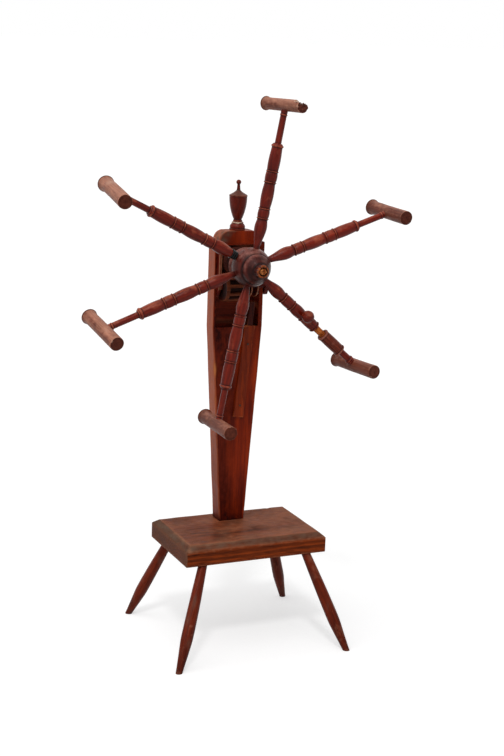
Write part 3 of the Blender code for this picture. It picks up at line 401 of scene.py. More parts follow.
def board_grid(half_x, half_y, height, rounding, steps_x, steps_y):
    """A rounded rectangle of points at each height, running anticlockwise.

    The corners are quarter circles of the rounding. The sides are straight between them, and
    their points lie a little closer together near the corners.
    """
    half_x, half_y = half_x[:, None], half_y[:, None]
    rounding = np.minimum(rounding, np.minimum(half_x, half_y) * 0.98)
    quarter = np.linspace(0, np.pi / 2, 6)
    arcs = []
    for k, (side_x, side_y) in enumerate(((1, 1), (-1, 1), (-1, -1), (1, -1))):
        turn = quarter + k * np.pi / 2
        arcs.append(np.stack([side_x * (half_x - rounding) + rounding * np.cos(turn),
                              side_y * (half_y - rounding) + rounding * np.sin(turn)], axis=-1))
    loops = []
    for k, arc_points in enumerate(arcs):
        even = np.linspace(0, 1, (steps_x, steps_y)[k % 2] + 2)[1:-1]
        share = (even * 0.35 + (1 - np.cos(np.pi * even)) / 2 * 0.65).reshape(1, -1, 1)
        end, ahead = arc_points[:, -1:], arcs[(k + 1) % 4][:, :1]
        loops += [arc_points, end + (ahead - end) * share]
    flat = np.concatenate(loops, axis=1)
    upright = np.broadcast_to(height[:, None, None], (*flat.shape[:2], 1))
    return np.concatenate([flat, upright], axis=-1)


def rounded_steps(points, radius, steps=4):
    """A line of points whose inner corners are each replaced by a short curve (a parabola)."""
    points = np.array(points, float)
    line = [points[:1]]
    t = np.linspace(0, 1, steps + 1).reshape(-1, 1)
    for before, corner, after in zip(points[:-2], points[1:-1], points[2:]):
        back, ahead = (corner + (end - corner) * min(0.45, radius / np.linalg.norm(end - corner))
                       for end in (before, after))
        line.append(back * (1 - t) ** 2 + 2 * corner * t * (1 - t) + ahead * t ** 2)
    return joined(*line, points[-1:])


def filled_line(points, longest):
    """The same line with added points, so that no two neighbours lie further apart than longest."""
    parts = []
    for a, b in zip(points[:-1], points[1:]):
        count = max(1, int(np.ceil(np.linalg.norm(b - a) / longest)))
        parts.append(a + (b - a) * np.linspace(0, 1, count, endpoint=False).reshape(-1, 1))
    return joined(*parts, points[-1:])


plank_low, plank_high = (np.array(corner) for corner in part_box("base_plank"))
plank_middle, half_plank = (plank_low + plank_high) / 2, (plank_high - plank_low) / 2
plank_underside, plank_top = plank_low[2], plank_high[2]
shift = np.append(plank_middle[:2], 0.0)
chamfer_run, chamfer_drop, cap = 0.011, 0.0088, half_plank[1] - 0.003
line = rounded_steps([
    [cap, plank_underside], [0.0, plank_underside], [0.0, plank_top - chamfer_drop],
    [chamfer_run, plank_top], [cap, plank_top]], 0.0012)
line = filled_line(line, 0.0045)
inset, line_z = line[:, 0], line[:, 1]
grid = board_grid(half_plank[0] - inset, half_plank[1] - inset, line_z, 0.001, 62, 40)
grid += shift
x, y = np.moveaxis(grid[..., :2] - shift[:2], -1, 0)
z = grid[..., 2]

to_corner = half_plank[0] - np.abs(x) + half_plank[1] - np.abs(y)
arris = held(np.abs(swelling(paired(line_z, -inset), 0.003)) / 0.0003)[:, None]
arris = arris + bell(to_corner, 0, 0.0022)
z += 0.00022 * ripple(grid, 0.045, 3) * (z > plank_top - 0.01)
slanted = ramp(z, plank_top - chamfer_drop, 0.002) * (inset[:, None] < chamfer_run)
flat_top = z > plank_top - 0.001
left_end = x < 0.0015 - half_plank[0]
left_chamfer = slanted * (x < 0.014 - half_plank[0])
# The top grows lighter and less dirty towards the right: a painted highlight, carried in the wear
# and dirt marks.
to_right = np.clip(x / half_plank[0], -1, 1)
cloud = ripple(grid * (1, 1.8, 1), 0.085, 14)
wear = held(0.6 * arris + 0.5 * slanted + 0.5 * left_end
                  + flat_top * (0.72 + 0.13 * cloud + 0.18 * to_right))
smudges = ripple(grid, 0.018, 44)
dirt = 0.45 * slanted + 0.48 * left_end + 0.16 * left_chamfer
dirt += flat_top * held(0.13 - 0.14 * cloud - 0.1 * to_right + 0.1 * smudges)
dust = (0.3 * left_chamfer + 0.55 * slanted) * (0.85 + 0.22 * ripple(grid, 0.022, 15))
dust += flat_top * held(0.06 + 0.1 * ripple(grid, 0.035, 16)) + 0.22 * left_end
edge_line = (bell(inset, chamfer_run, 0.0016) * (line_z > plank_top - 0.002))[:, None]
front_left = (y < 0) * ramp(x, -0.02, -0.03)
bare = 0.55 * edge_line * front_left * (0.8 + 0.3 * ripple(grid, 0.012, 40))
for at_x, at_y, reach, depth in ((0.0966, 0.079, 0.003, 1.0), (-0.134, -0.088, 0.004, 0.7),
                           (0.137, -0.0885, 0.0035, 0.6)):
    chip = bell(np.hypot(x - at_x, y - at_y), 0, reach) * (z > plank_top - 0.014)
    bare += depth * chip
    z -= 0.0012 * depth * chip
for at_x, at_y, reach in ((0.03, 0.062, 0.006), (0.104, 0.012, 0.005), (0.024, -0.02, 0.018),
                    (-0.06, -0.05, 0.012)):
    dirt += 0.5 * flat_top * bell(np.hypot(x - at_x, y - at_y), 0, reach)
plank_wood = stained_wood(
    "plank_wood", dark=(44, 12, 4), body=(142, 58, 18), rubbed=(142, 86, 60), raw=(168, 116, 88),
    ring=0.0032, ring_depth=0.46, streaks=1.05, streak_scale=760.0, pores=0.65, roughness=0.44,
    relief=1.2, gloss=0.06)
finished(skin("plank_board", grid), "base_plank", plank_wood,
         grid[..., [1, 2, 0]] + (0.02, -0.2, 0.3), wear, dirt, bare,
         dust)


# Four legs, turned slim with a low belly, wedged up into the plank's corners and sawn level at the
# floor. Their dark stain has greyed along the belly, where shoes and brooms have rubbed it. Their
# upper sides carry a painted highlight, and their grey patches are partly a painted sheen.

def measured(x, y, z):
    """A place measured from the floor under the plank's middle."""
    return Vector(shift) + Vector((x, y, z))


def placed(points, matrix):
    matrix = np.array(matrix)
    return points @ matrix[:3, :3].T + matrix[:3, 3]


def turns(sides):
    """The angles of the points of a ring, in radians."""
    return np.arange(sides) * 2 * np.pi / sides


def turned_grid(outline, sides, matrix, seed=0, out_of_round=0.0, bend=0.0):
    """Rings of points about the matrix's Z axis, one for each (height, radius) of the outline.

    Each ring is a circle with a slight second and third wave round it, and the whole line bows to
    one side by a half sine over its length.
    """
    turn = turns(sides)
    high, radius = outline[:, :1] / 1000, outline[:, 1:] / 1000
    wave = np.sin(2 * turn + seed) + 0.5 * np.sin(3 * turn + 2.3 * seed + high * 25)
    radius = radius * (1 + out_of_round * wave)
    bow = bend * np.sin(np.pi * (high - high.min()) / np.ptp(high))
    rings = (radius * np.cos(turn) + bow, radius * np.sin(turn), high + 0 * radius)
    local = np.stack(rings, axis=-1)
    return local, placed(local, matrix)


def facing_up(matrix, sides):
    """How far a turned piece's sides face up, 0 to 1, where a painted highlight is added to the
    wear.
    """
    turn = turns(sides)
    return held(matrix[2][0] * np.cos(turn) + matrix[2][1] * np.sin(turn))


def run(low, low_wide, high, high_wide, steps):
    """A straight line of points."""
    return paired(np.linspace(low, high, steps), np.linspace(low_wide, high_wide, steps))


def belly(low, high, low_wide, high_wide, rise, peak=0.5, steps=24):
    """A straight taper plus a half sine whose top lies at the share peak of the length."""
    arch = np.sin(np.pi * np.linspace(0, 1, steps) ** (np.log(0.5) / np.log(peak)))
    return run(low, low_wide, high, high_wide, steps) + paired(0 * arch, rise * arch)


leg_wood = stained_wood(
    "leg_wood", dark=(60, 14, 5), body=(122, 42, 17), rubbed=(140, 84, 62), streaks=0.75, pores=0.5,
    roughness=0.38, gloss=0.08)
leg_sides, widest_at = 40, 0.7
top_x, top_y, foot_x, foot_y = 0.1034, 0.0799, 0.1653, 0.1475
for leg, (side_x, side_y), (spread_x, spread_y) in (
        ("leg_front_left", (-1, -1), (1.032, 0.976)), ("leg_front_right", (1, -1), (0.984, 1.022)),
        ("leg_back_left", (-1, 1), (0.973, 1.049)), ("leg_back_right", (1, 1), (1.01, 0.953))):
    top = measured(side_x * top_x, side_y * top_y, plank_underside)
    foot = measured(side_x * foot_x * spread_x, side_y * foot_y * spread_y, 0.0)
    leg_frame = Matrix.Translation(top) @ (foot - top).to_track_quat("Z", "Y").to_matrix().to_4x4()
    length = (foot - top).length * 1000
    widest = length * widest_at
    outline = joined(belly(-4.0, widest, 8.0, 11.2, 0.7, 0.55, 40),
                     run(widest, 11.2, length - 0.5, 5.9, 30)[1:])
    outline[:, 1] = np.convolve(np.pad(outline[:, 1], 4, mode="edge"), np.ones(9) / 9, "valid")
    seed = side_x * 2 + side_y * 5 + 11
    local, grid = turned_grid(outline, leg_sides, leg_frame, seed, 0.012, 0.0008)
    down, along = np.array(leg_frame)[:3, 2], outline[:, :1]
    sawn_level = ramp(along, length - 30.0, 29.5) * grid[-1:, :, 2] / down[2]
    grid -= sawn_level[..., None] * down
    worn_and_highlight = 0.35 * held(ripple(grid, 0.05, seed + 40) - 0.2)
    worn_and_highlight += 0.45 * held(ripple(grid, 0.012, seed) - 1.1)
    # Up-facing sides are made paler through the wear mark: a painted highlight.
    worn_and_highlight += 0.5 * bell(along, length, 4.0) + 0.35 * facing_up(leg_frame, leg_sides)
    dark_ends = 0.6 * bell(along, 1.0, 4.0) + 0.5 * ramp(along, length * 0.8, length * 0.2)
    nicks = 1.6 * held(ripple(grid * (1, 1, 0.6), 0.007, seed + 21) - 2.1)
    # Grey patches through the dust mark: partly dust, partly a painted sheen.
    grey_dust_and_sheen = 0.35 * held(ripple(grid * (1, 1, 0.25), 0.018, seed + 9) - 0.5)
    leg_mesh = skin(leg, grid)
    give_marks(leg_mesh, local + (0.05 * seed, 0.03, 0.2 * seed), worn_and_highlight, dark_ends, nicks, grey_dust_and_sheen)
    stand_for(leg_mesh, leg, leg_wood)


# The post: a long board of straight-grained wood, tapering from its shoulders to the foot, with a
# round-cornered head and a pocket cut in its front for the counting works. The front is stained a
# deep red brown. The side towards the light is a pale, dusty brown: partly wear and dust, partly
# painted light.

def arc(middle, radius, start, end, steps, out=0.0):
    """Part of a circle about a point of the axis, between two angles from the axis in degrees."""
    turn = np.linspace(math.radians(start), math.radians(end), steps)
    return paired(middle + radius * np.cos(turn), out + radius * np.sin(turn))


def cut_away(mesh, cutter):
    """The mesh with another mesh's space taken out of it by a Boolean."""
    board, tool = (put_in(shape.name, shape) for shape in (mesh, cutter))
    knife = board.modifiers.new("cut", "BOOLEAN")
    knife.operation = "DIFFERENCE"
    knife.object = tool
    bpy.context.view_layer.update()
    cut = board.evaluated_get(bpy.context.evaluated_depsgraph_get())
    result = bpy.data.meshes.new_from_object(cut)
    for thing in (board, tool):
        bpy.data.objects.remove(thing)
    return result


def box_grid(low, high, steps=8, longest=0.006):
    """A box with slightly rounded edges, as rounded rectangles stacked along Z."""
    rounding = 0.0003
    low, high = np.array(low, float), np.array(high, float)
    half = (high - low) / 2
    cap = min(half[:2]) * 0.6
    line = [[cap, low[2]], [0.0, low[2]], [0.0, high[2]], [cap, high[2]]]
    line = filled_line(rounded_steps(line, rounding * 1.6), longest)
    sides = (half[0] - line[:, 0], half[1] - line[:, 0], line[:, 1])
    return board_grid(*sides, rounding, steps, steps) + np.append((low + high)[:2] / 2, 0.0)


post_wood = stained_wood(
    "post_wood", dark=(78, 9, 2), body=(160, 50, 10), rubbed=(168, 90, 60), ring=0.008, streaks=1.1,
    streak_scale=170.0, pores=0.35, gloss=0.08)
post_front, post_back = 0.0337, 0.0649
post_middle, post_half = (post_front + post_back) / 2, (post_back - post_front) / 2
foot_z, taper_z, shoulder_z, head_z = 0.2148, 0.59, 0.7475, 0.7685
foot_half, full_half, head_half, corner = 0.0255, 0.0495, 0.0415, 0.018
line = joined(
    [[foot_half - 0.0006, foot_z], [foot_half, foot_z + 0.0006]],
    run(foot_half, foot_z + 0.0012, full_half, taper_z, 70),
    run(full_half, taper_z, full_half, shoulder_z - 0.0012, 35)[1:],
    [[full_half - 0.0002, shoulder_z - 0.0005], [full_half - 0.001, shoulder_z],
     [head_half + 0.0006, shoulder_z], [head_half, shoulder_z + 0.0004]],
    arc(head_half - corner, corner, 0, 90, 14, head_z - corner))
half_depth = np.full(len(line), post_half)
half_depth[0] -= 0.0006
half_depth[-2:] -= (0.0002, 0.0008)
grid = board_grid(line[:, 0], half_depth, line[:, 1], 0.0009, 34, 14)
x, y, z = np.moveaxis(grid, -1, 0)
half_width, half_depth = line[:, :1], half_depth[:, None]
from_side, from_face = half_width - np.abs(x), half_depth - np.abs(y)
off_arris = ramp(from_side, 0.0, 0.0012)

# The left side is made paler through the wear mark, more so higher up: partly real wear, partly
# painted light on the lit side.
left_side = ramp(from_side, 0.004, -0.003) * (x < 0)
wear = held(0.8 * bell(from_side + from_face, 0, 0.002)
                 + left_side * (0.45 + 0.5 * ramp(z, 0.22, 0.2)))
chips = held(sum(
    depth * bell(z, at_z, tall) * bell(x, -half_width, wide)
    * bell(y, -half_depth, wide)
    for depth, at_z, tall, wide in ((1.6, 0.512, 0.01, 0.003), (1.2, 0.452, 0.005, 0.002))))
# A strip down the front of the pocket's left cheek and below it is darkened through the dirt mark
# and kept unworn: a painted shadow on the cheek's front edge.
cheek_shade = (y < 0) * (from_face < 0.0015) * (x < -0.03)
cheek_shade = cheek_shade * ramp(z, 0.54, 0.04) * (z < 0.745) * off_arris
greyed = ramp(z, 0.739, 0.006) * ramp(from_side, 0.024, -0.012)
greyed *= held(0.55 + 0.3 * ripple(grid, 0.012, 19)) * (x < 0.01) * (y < 0.01)
x += 0.0011 * chips + 0.00018 * ripple(grid, 0.06, 8)
y += post_middle + 0.0007 * chips
dirt = (
    0.7 * bell(z, foot_z, 0.01) + 0.4 * left_side * ramp(z, 0.4, -0.18)
    + 0.45 * ramp(z, 0.33, -0.12) * (from_side > 0.004)
    + 0.5 * ramp(x, 0.004, -0.018) * (from_side > 0.003)
    + 0.45 * bell(z, 0.53, 0.1) * bell(x, -0.02, 0.02) * (from_side > 0.002)
    + 0.75 * cheek_shade + 0.75 * ramp(x, 0.04, 0.002) * ramp(z, 0.69, 0.03))
post_grain = (0.3, 0.1, 0.0)
post_mesh = skin("post_board", grid + shift)
give_marks(post_mesh, grid + post_grain, held(wear * (1 - 0.8 * cheek_shade) + 0.4 * greyed),
           held(dirt + 0.25 * greyed), 0.8 * chips, 0.95 * greyed)
# The pocket's walls take the dirt mark at full strength and turn nearly black: painted shade in the
# recess behind the hub.
pocket = box_grid((-0.0445, post_front - 0.01, 0.59), (0.0415, post_back - 0.0065, 0.743))
pocket_mesh = skin("pocket", pocket + shift)
give_marks(pocket_mesh, pocket + post_grain, dirt=1.25)
axle_x, axle_z = -0.0105, 0.714
along_y = turned("X", -90)
axle_line = Matrix.Translation(measured(axle_x, 0, axle_z)) @ along_y
local, hole = turned_grid(run(40.0, 9.8, 80.0, 9.8, 6), 32, axle_line)
hole_mesh = skin("axle_hole", hole)
give_marks(hole_mesh, hole, dirt=1.0)
stand_for(cut_away(cut_away(post_mesh, pocket_mesh), hole_mesh), "post", post_wood)


# Behind the post, a block that gives the axle a long bearing; in the pocket's left cheek and on
# the right one, two small boards with a slanted lower corner that carry the counting wheel.

def copy_of(node, rounding, sharp_from):
    """The CAD node's own shape, with its loose triangles merged, its flat faces joined and its
    edges sharper than sharp_from rounded."""
    shape = bmesh.new()
    shape.from_mesh(frame["nodes"][node].data)
    bmesh.ops.remove_doubles(shape, verts=shape.verts, dist=0.000004)
    bmesh.ops.dissolve_limit(shape, angle_limit=math.radians(0.6), verts=shape.verts,
                             edges=shape.edges)
    sharp = [edge for edge in shape.edges
             if edge.is_manifold and edge.calc_face_angle() > math.radians(sharp_from)]
    bmesh.ops.bevel(shape, geom=sharp, offset=rounding, offset_type="OFFSET", segments=2,
                    profile=0.6, affect="EDGES", clamp_overlap=True)
    return shape


def as_mesh(shape, name):
    mesh = bpy.data.meshes.new(name)
    shape.to_mesh(mesh)
    shape.free()
    return mesh


def eased_copy(node, material, rounding, grain, wear, dirt, bare=0.0, longest=0.004, moved=None):
    """The CAD shape, eased and split up so that its faces can hold marks.

    Grain is the order in which its sides are read into the wood's grain. Each mark is a number or
    takes the points. Moved, where given, takes the points to where they end up.
    """
    shape = copy_of(node, rounding, 42)
    bmesh.ops.triangulate(shape, faces=shape.faces)
    for _ in range(3):
        long_edges = [edge for edge in shape.edges if edge.calc_length() > longest]
        if long_edges:
            bmesh.ops.subdivide_edges(shape, edges=long_edges, cuts=1)
            bmesh.ops.triangulate(shape, faces=shape.faces)
    mesh = as_mesh(shape, node + "_wood")
    points = np.empty(len(mesh.vertices) * 3, np.float32)
    mesh.vertices.foreach_get("co", points)
    points = points.reshape(-1, 3).astype(float)
    marks = [mark(points) if callable(mark) else mark for mark in (wear, dirt, bare)]
    if moved:
        mesh.vertices.foreach_set("co", moved(points).astype(np.float32).ravel())
    finished(mesh, node, material, points[:, grain] + (0.11, 0.07, 0.0), *marks)


def edge_wear(points, reach=0.0014):
    """1 on a box's edges, fading to 0 over reach: a point is on an edge when it lies close to two
    of the box's three pairs of faces."""
    off = np.sort(np.minimum(points - points.min(0), points.max(0) - points), axis=-1)
    return bell(off[:, 0] + off[:, 1], 0, reach)


works_dark = stained_wood(
    "bracket_wood", dark=(60, 8, 3), body=(116, 28, 10), rubbed=(194, 130, 96), roughness=0.4)
eased_copy("rear_bearing_block", post_wood, 0.0012, [1, 2, 0], edge_wear, 0.25)
eased_copy("bracket_left", works_dark, 0.0005, [0, 1, 2],
           lambda p: 0.9 * edge_wear(p, 0.0022), 0.25)
eased_copy("bracket_right", works_dark, 0.0005, [0, 1, 2], lambda p: 0.5 * edge_wear(p), 0.3)


# A thin slat nailed a little askew on the post's front, which once steadied the springy wooden
# finger that stands in the hollow of its top end and clicks once for each turn of the wheel.

slat_wood = stained_wood(
    "slat_wood", dark=(92, 22, 6), body=(168, 62, 18), rubbed=(180, 96, 52), ring=0.004,
    ring_depth=0.3, streaks=1.1)
finger_wood = stained_wood(
    "finger_wood", dark=(44, 10, 4), body=(84, 24, 12), rubbed=(130, 66, 40), ring=0.002,
    ring_depth=0.3, streaks=1.0, roughness=0.46)
eased_copy("slat", slat_wood, 0.0006, [0, 1, 2], edge_wear, 0.15)
eased_copy("click_finger", finger_wood, 0.0003, [0, 1, 2], edge_wear, 0.2, longest=0.003)

# Hand-made iron for the nails and the knuckle's pin: dark scale, rust-brown where a noise is high.
nail_iron, tree, shader = new_finish("nail_iron")
spots = speckle(tree, add_node(tree, "ShaderNodeTexCoord").outputs["Object"], 1.0, 900.0, 4.0)
dents = add_node(tree, "ShaderNodeBump", {"Strength": 0.6, "Distance": 0.0002, "Height": spots})
rust = spread(tree, spots, 0.42, 0.62)
feed(tree, shader, {
    "Base Color": blend(tree, rust, stain(44, 36, 32), stain(92, 52, 34)),
    "Roughness": spread(tree, spots, 0.3, 0.7, 0.35, 0.75),
    "Metallic": spread(tree, spots, 0.4, 0.6, 0.9, 0.3), "Normal": dents.outputs["Normal"]})
for nail in ("slat_nail_lower", "slat_nail_upper", "knuckle_pin"):
    stand_for(as_mesh(copy_of(nail, 0.0003, 50), nail + "_iron"), nail, nail_iron)


# The finial: a turned cushion on the head and a slim urn doweled through it, with a flared rim, a
# hollow cap and a small ball. The cushion's upper edge has chipped to bare wood.

def turned_marks(outline, reach=1.6, full=0.28):
    """Wear on the ridges and dirt in the hollows of an outline, both from 0 to 1."""
    lift = swelling(outline, reach)[:, None]
    return held(lift / full), held(-lift / full)


def end_face(height, radius, rounding, outwards):
    """A flat end: from near the axis out to the rim, then round its edge by a quarter circle.

    Outwards is -1 for a bottom end and +1 for a top end, whose points then run inwards.
    """
    edge = arc(0.0, rounding, 0, 90, 5, radius - rounding)
    edge[:, 0] = height - outwards * (rounding - edge[:, 0])
    line = joined(run(height, 0.6, height, radius - rounding, 5)[:-1], edge)
    return line if outwards < 0 else line[::-1]


def turned_piece(node, outline, material, matrix, seed, out_of_round=0.004, bend=0.0, wear_by=0.0,
                 dirt_by=0.0, bare_by=0.0, dust_by=0.0, highlight_above=0.6, cutters=()):
    """A lathe-turned piece: its rings, marks from its own outline, a patchy rub over all of it, and
    a painted highlight on its upper sides.

    Cutters are the corners of boxes, in millimetres, that slot or flatten it to bare wood.
    """
    grain_at = (0.013 * seed, 0.021, 0.37 * seed)
    local, grid = turned_grid(outline, piece_sides, matrix, seed, out_of_round, bend)
    wear, dirt = turned_marks(outline)
    wear = 0.5 * wear + 0.3 * held(ripple(grid, 0.035, seed + 70) - 0.3) + wear_by
    # The upper sides are made paler through the wear mark: a painted highlight.
    wear = wear + highlight_above * facing_up(matrix, piece_sides)
    mesh = skin(node + "_turning", grid)
    give_marks(mesh, local + grain_at, held(wear), held(0.95 * dirt + dirt_by), bare_by, dust_by)
    for corners in cutters:
        box = box_grid(*np.array(corners) / 1000, steps=3, longest=0.02)
        cutter = skin("cutter", placed(box, matrix))
        give_marks(cutter, box + grain_at, dirt=0.1, bare=0.85)
        mesh = cut_away(mesh, cutter)
    stand_for(mesh, node, material)


piece_sides = 48
finial_wood = stained_wood(
    "finial_wood", dark=(62, 10, 4), body=(118, 32, 12), rubbed=(146, 72, 48), raw=(246, 214, 186),
    ring=0.0024, ring_depth=0.2, streaks=0.6, pores=0.3, roughness=0.3, gloss=0.12)
cushion_high = 0.015
cushion_frame = Matrix.Translation(measured(0, post_middle, head_z + 0.0003))
urn_frame = cushion_frame @ Matrix.Translation((0, 0, cushion_high))
cushion = joined(
    end_face(0.0, 14.6, 0.6, -1), run(1.0, 14.8, 2.6, 14.8, 4), [[3.2, 13.8]],
    belly(3.6, 12.0, 13.6, 10.8, 1.6, 0.45, 18), [[12.4, 10.4], [13.0, 10.6]],
    end_face(14.7, 10.8, 0.6, 1))
chip_turn = turns(piece_sides) + 2.3
cushion_chip = ramp(cushion[:, :1] + 0.7 * np.sin(5 * chip_turn), 12.2, 1.2)
cushion_chip = cushion_chip * held(np.cos(chip_turn) * 1.8 - 0.3)
turned_piece("finial_cushion", cushion, finial_wood, cushion_frame, 3, bare_by=cushion_chip)
rim_z, cap_z, stem_z = 46.8, 58.8, 68.4
share = np.linspace(0, 1, 30)
urn = joined(
    end_face(0.0, 8.0, 0.6, -1), run(0.6, 8.6, 2.8, 8.6, 4), [[3.4, 7.8], [4.0, 7.4]],
    paired(4.6 + (rim_z - 5.6) * share, 7.4 + 9.1 * np.sin(np.pi / 2 * share ** 0.85)),
    [[rim_z - 0.7, 16.3], [rim_z - 0.3, 16.6]], run(rim_z, 16.9, rim_z + 2.0, 16.8, 4),
    [[rim_z + 2.6, 16.0]],
    paired(rim_z + 3.0 + (cap_z - rim_z - 3.0) * share, 3.4 + 11.8 * (1 - share) ** 1.5),
    run(cap_z + 0.6, 3.3, stem_z, 2.6, 8), arc(stem_z + 3.8, 4.6, 146, 4, 20))
on_cap = (urn[:, :1] > rim_z + 1.0) * (urn[:, :1] < cap_z)
turned_piece("finial_urn", urn, finial_wood, urn_frame, 5, wear_by=-0.05, dust_by=0.45 * on_cap)


# The axle, whose back part is a wooden worm, the straight-toothed wheel that it turns, and the
# wheel's arbor with two thin discs and a trip pin: plain wood, darkened by grease and dust.

works_wood = stained_wood(
    "works_wood", dark=(28, 6, 3), body=(72, 24, 12), rubbed=(118, 58, 32), ring=0.0022,
    ring_depth=0.3, roughness=0.48)
raw_wood = stained_wood(
    "raw_wood", dark=(110, 44, 12), body=(196, 104, 40), rubbed=(222, 150, 84), ring=0.0014,
    ring_depth=0.6, streaks=1.6, pores=0.5, roughness=0.58)
arbor = measured(0, 0.03, 0.6665)
hub_centre = measured(axle_x, -0.042, axle_z)
axle_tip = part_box("reel_axle")[0][1] - (hub_centre.y - 0.0548)
wedge_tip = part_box("axle_wedge")[0][1] - (hub_centre.y - 0.056)


def off_arbor(points):
    return np.hypot(points[:, 1] - arbor.y, points[:, 2] - arbor.z)


def off_axle(points):
    return np.hypot(points[:, 0] - hub_centre.x, points[:, 2] - hub_centre.z)


def split_end(points):
    """The axle's front end comes forward to the hub's, ragged, and narrows to three quarters."""
    share = ramp(points[:, 1:2], hub_centre.y - 0.04, -0.007)
    across = points - (hub_centre.x + 0.0009, 0.0, hub_centre.z)
    ragged = axle_tip + 0.0009 * ripple(points * (1, 0, 1), 0.005, 21)[:, None]
    return points - share * (across * (0.26, 0.0, 0.26) + ragged * (0.0, 1.0, 0.0))


eased_copy("count_wheel", works_wood, 0.0004, [1, 2, 0],
           lambda p: ramp(off_arbor(p), 0.0235, 0.003),
           lambda p: np.minimum(ramp(off_arbor(p), 0.0235, -0.004), 0.9), longest=0.005)
eased_copy("wheel_arbor", works_dark, 0.0003, [1, 2, 0],
           lambda p: ramp(off_arbor(p), 0.0185, 0.001), 0.3)
eased_copy("reel_axle", works_wood, 0.0003, [0, 2, 1],
           lambda p: 0.35 * ramp(off_axle(p), 0.0245, 0.002),
           lambda p: np.minimum(ramp(off_axle(p), 0.023, -0.004), 0.8) * (p[:, 1] > -0.06),
           lambda p: 0.95 * (p[:, 1] < hub_centre.y - 0.044), longest=0.0025, moved=split_end)
eased_copy("trip_pin", raw_wood, 0.0002, [1, 2, 0], 0.2, 0.2)
eased_copy("axle_peg", raw_wood, 0.0004, [1, 0, 2], 0.3, 0.1)
eased_copy("axle_wedge", raw_wood, 0.0002, [0, 2, 1], 0.3, 0.45, longest=0.002,
           moved=lambda p: p + (0.0009, -wedge_tip, 0.0))


# The hub: a turned ball with a double rim behind, a shallow groove before its shoulder and a
# stepped nose, whose cracked front end is bare. The axle's split and wedged end shows in it. The
# stain has dulled to a purplish brown, darker in the hollows. Its top is painted lighter, a painted
# highlight, and its lower half and the left arc of its groove darker, painted shade.

hub_wood = stained_wood(
    "hub_wood", dark=(40, 8, 6), body=(94, 36, 28), rubbed=(148, 96, 86), raw=(164, 84, 40),
    ring=0.005, streaks=0.6, pores=0.3, roughness=0.26, gloss=0.11, relief=0.6)
facing_front = turned("X", 90)
hub_radius, ball_radius, bore, hub_sides = 37.2, 35.6, 7.9, 96
hub = joined(
    run(-28.5, 8.4, -28.5, 29.2, 8),
    [[-28.4, 31.0], [-27.8, 31.9], [-26.8, 32.1], [-26.0, 31.5], [-25.4, 30.1], [-24.9, 30.0],
     [-24.3, 31.0], [-23.6, 31.3], [-22.8, 30.2]],
    arc(0.0, ball_radius, 127, 53.5, 50), [[21.5, 28.1], [21.9, 27.6], [22.4, 27.3], [22.9, 27.1]],
    belly(23.4, 35.6, 26.9, 17.8, 1.8, 0.45, 26),
    [[36.4, 16.8], [37.1, 15.5], [37.8, 14.1], [38.6, 13.0], [39.6, 12.4]],
    run(40.4, 12.2, 47.0, 11.8, 8), [[48.2, 11.4], [49.0, 10.6], [49.3, 9.6]],
    run(49.3, 9.0, 49.3, 8.1, 3), run(48.5, bore, -28.0, bore, 20))
hub[:, 0] += 4.5 * ramp(hub[:, 0], 31.2, 18.0)
high, wide = hub[:, :1], hub[:, 1:]
hub_frame = Matrix.Translation(hub_centre) @ facing_front
local, grid = turned_grid(hub, hub_sides, hub_frame, 2, 0.002)
wear, dirt = turned_marks(hub, 1.8, 0.4)
# The ball's upper part is made paler through the wear mark: a painted highlight on its top.
hub_up = (grid[..., 2] - hub_centre.z) / (ball_radius / 1000)
rub_and_highlight = np.clip(0.16 * ripple(grid, 0.024, 12) + 0.1 + 0.62 * held(hub_up) ** 1.4, 0, 0.9)
wear = 0.5 * wear + rub_and_highlight + 0.6 * (high < -20.5) * (wide > 27.0)
cracks = bell(np.sin(2.5 * turns(hub_sides) + 0.7), 0, 0.16) * (high > 50.0)
# The groove's left arc and the ball's lower half are darkened through the dirt mark: painted shade;
# the noise patches are smoke.
to_left = ramp(grid[..., 0], hub_centre.x, -0.02)
groove_shade = 0.85 * bell(high, 21.4, 2.2) * (wide > 20.0) * to_left
smoke_and_low_shade = 0.4 * held(ripple(grid, 0.028, 34) - 0.25) + 0.35 * held(-hub_up)
nose_dirt = 0.45 * ramp(high, 30.0, 3.0) + 0.9 * (wide < bore + 0.3)
nose_end = held(high - 51.4 + 1.2 * ripple(grid, 0.006, 77) - 0.45)
nose_end = nose_end * (wide > bore + 0.3) * (1 - cracks)
dirt = (0.8 * dirt + groove_shade + nose_dirt + smoke_and_low_shade + cracks) * (1 - 0.8 * nose_end)
grid[..., 1] += 0.0012 * np.clip(ripple(grid, 0.007, 5), 0, 1.5) * (high > 52.0)
finished(skin("hub_turning", grid, ring_closed=True), "hub", hub_wood,
         local[..., [0, 2, 1]] + (0.02, 0.4, 0.03), wear, dirt, nose_end)


# Five plain arms: turned spindles with a vase next the hub, two barrels parted by pairs of rings,
# and a slim stem with a collar. Each is doweled into the hub, a little out of true by now.

arm_wood = stained_wood(
    "arm_wood", dark=(66, 8, 3), body=(132, 34, 14), rubbed=(170, 88, 62), raw=(206, 112, 44),
    ring_depth=0.26, streaks=0.7, pores=0.35, roughness=0.32, gloss=0.15, relief=0.6)
arm_names = ("top", "right", "crank", "bottom", "lower_left", "upper_left")
arm_angles = (79.4, 18.5, -41.1, -100.9, -159.8, 153.1)
arm_twists = (7.8, 2.1, -4.2, 1.3, -11.9, -8.4)
arm_shifts = (-0.12, 0.085, 0.085, 0.03, 0.085, -0.045)
arm_reaches = (0.9995, 1.0, 0.99, 1.004, 1.007, 1.001)
crooked = arm_names.index("upper_left")
reel_radius, bar_radius = 292.0, 12.7
arm_start = hub_radius + 0.3


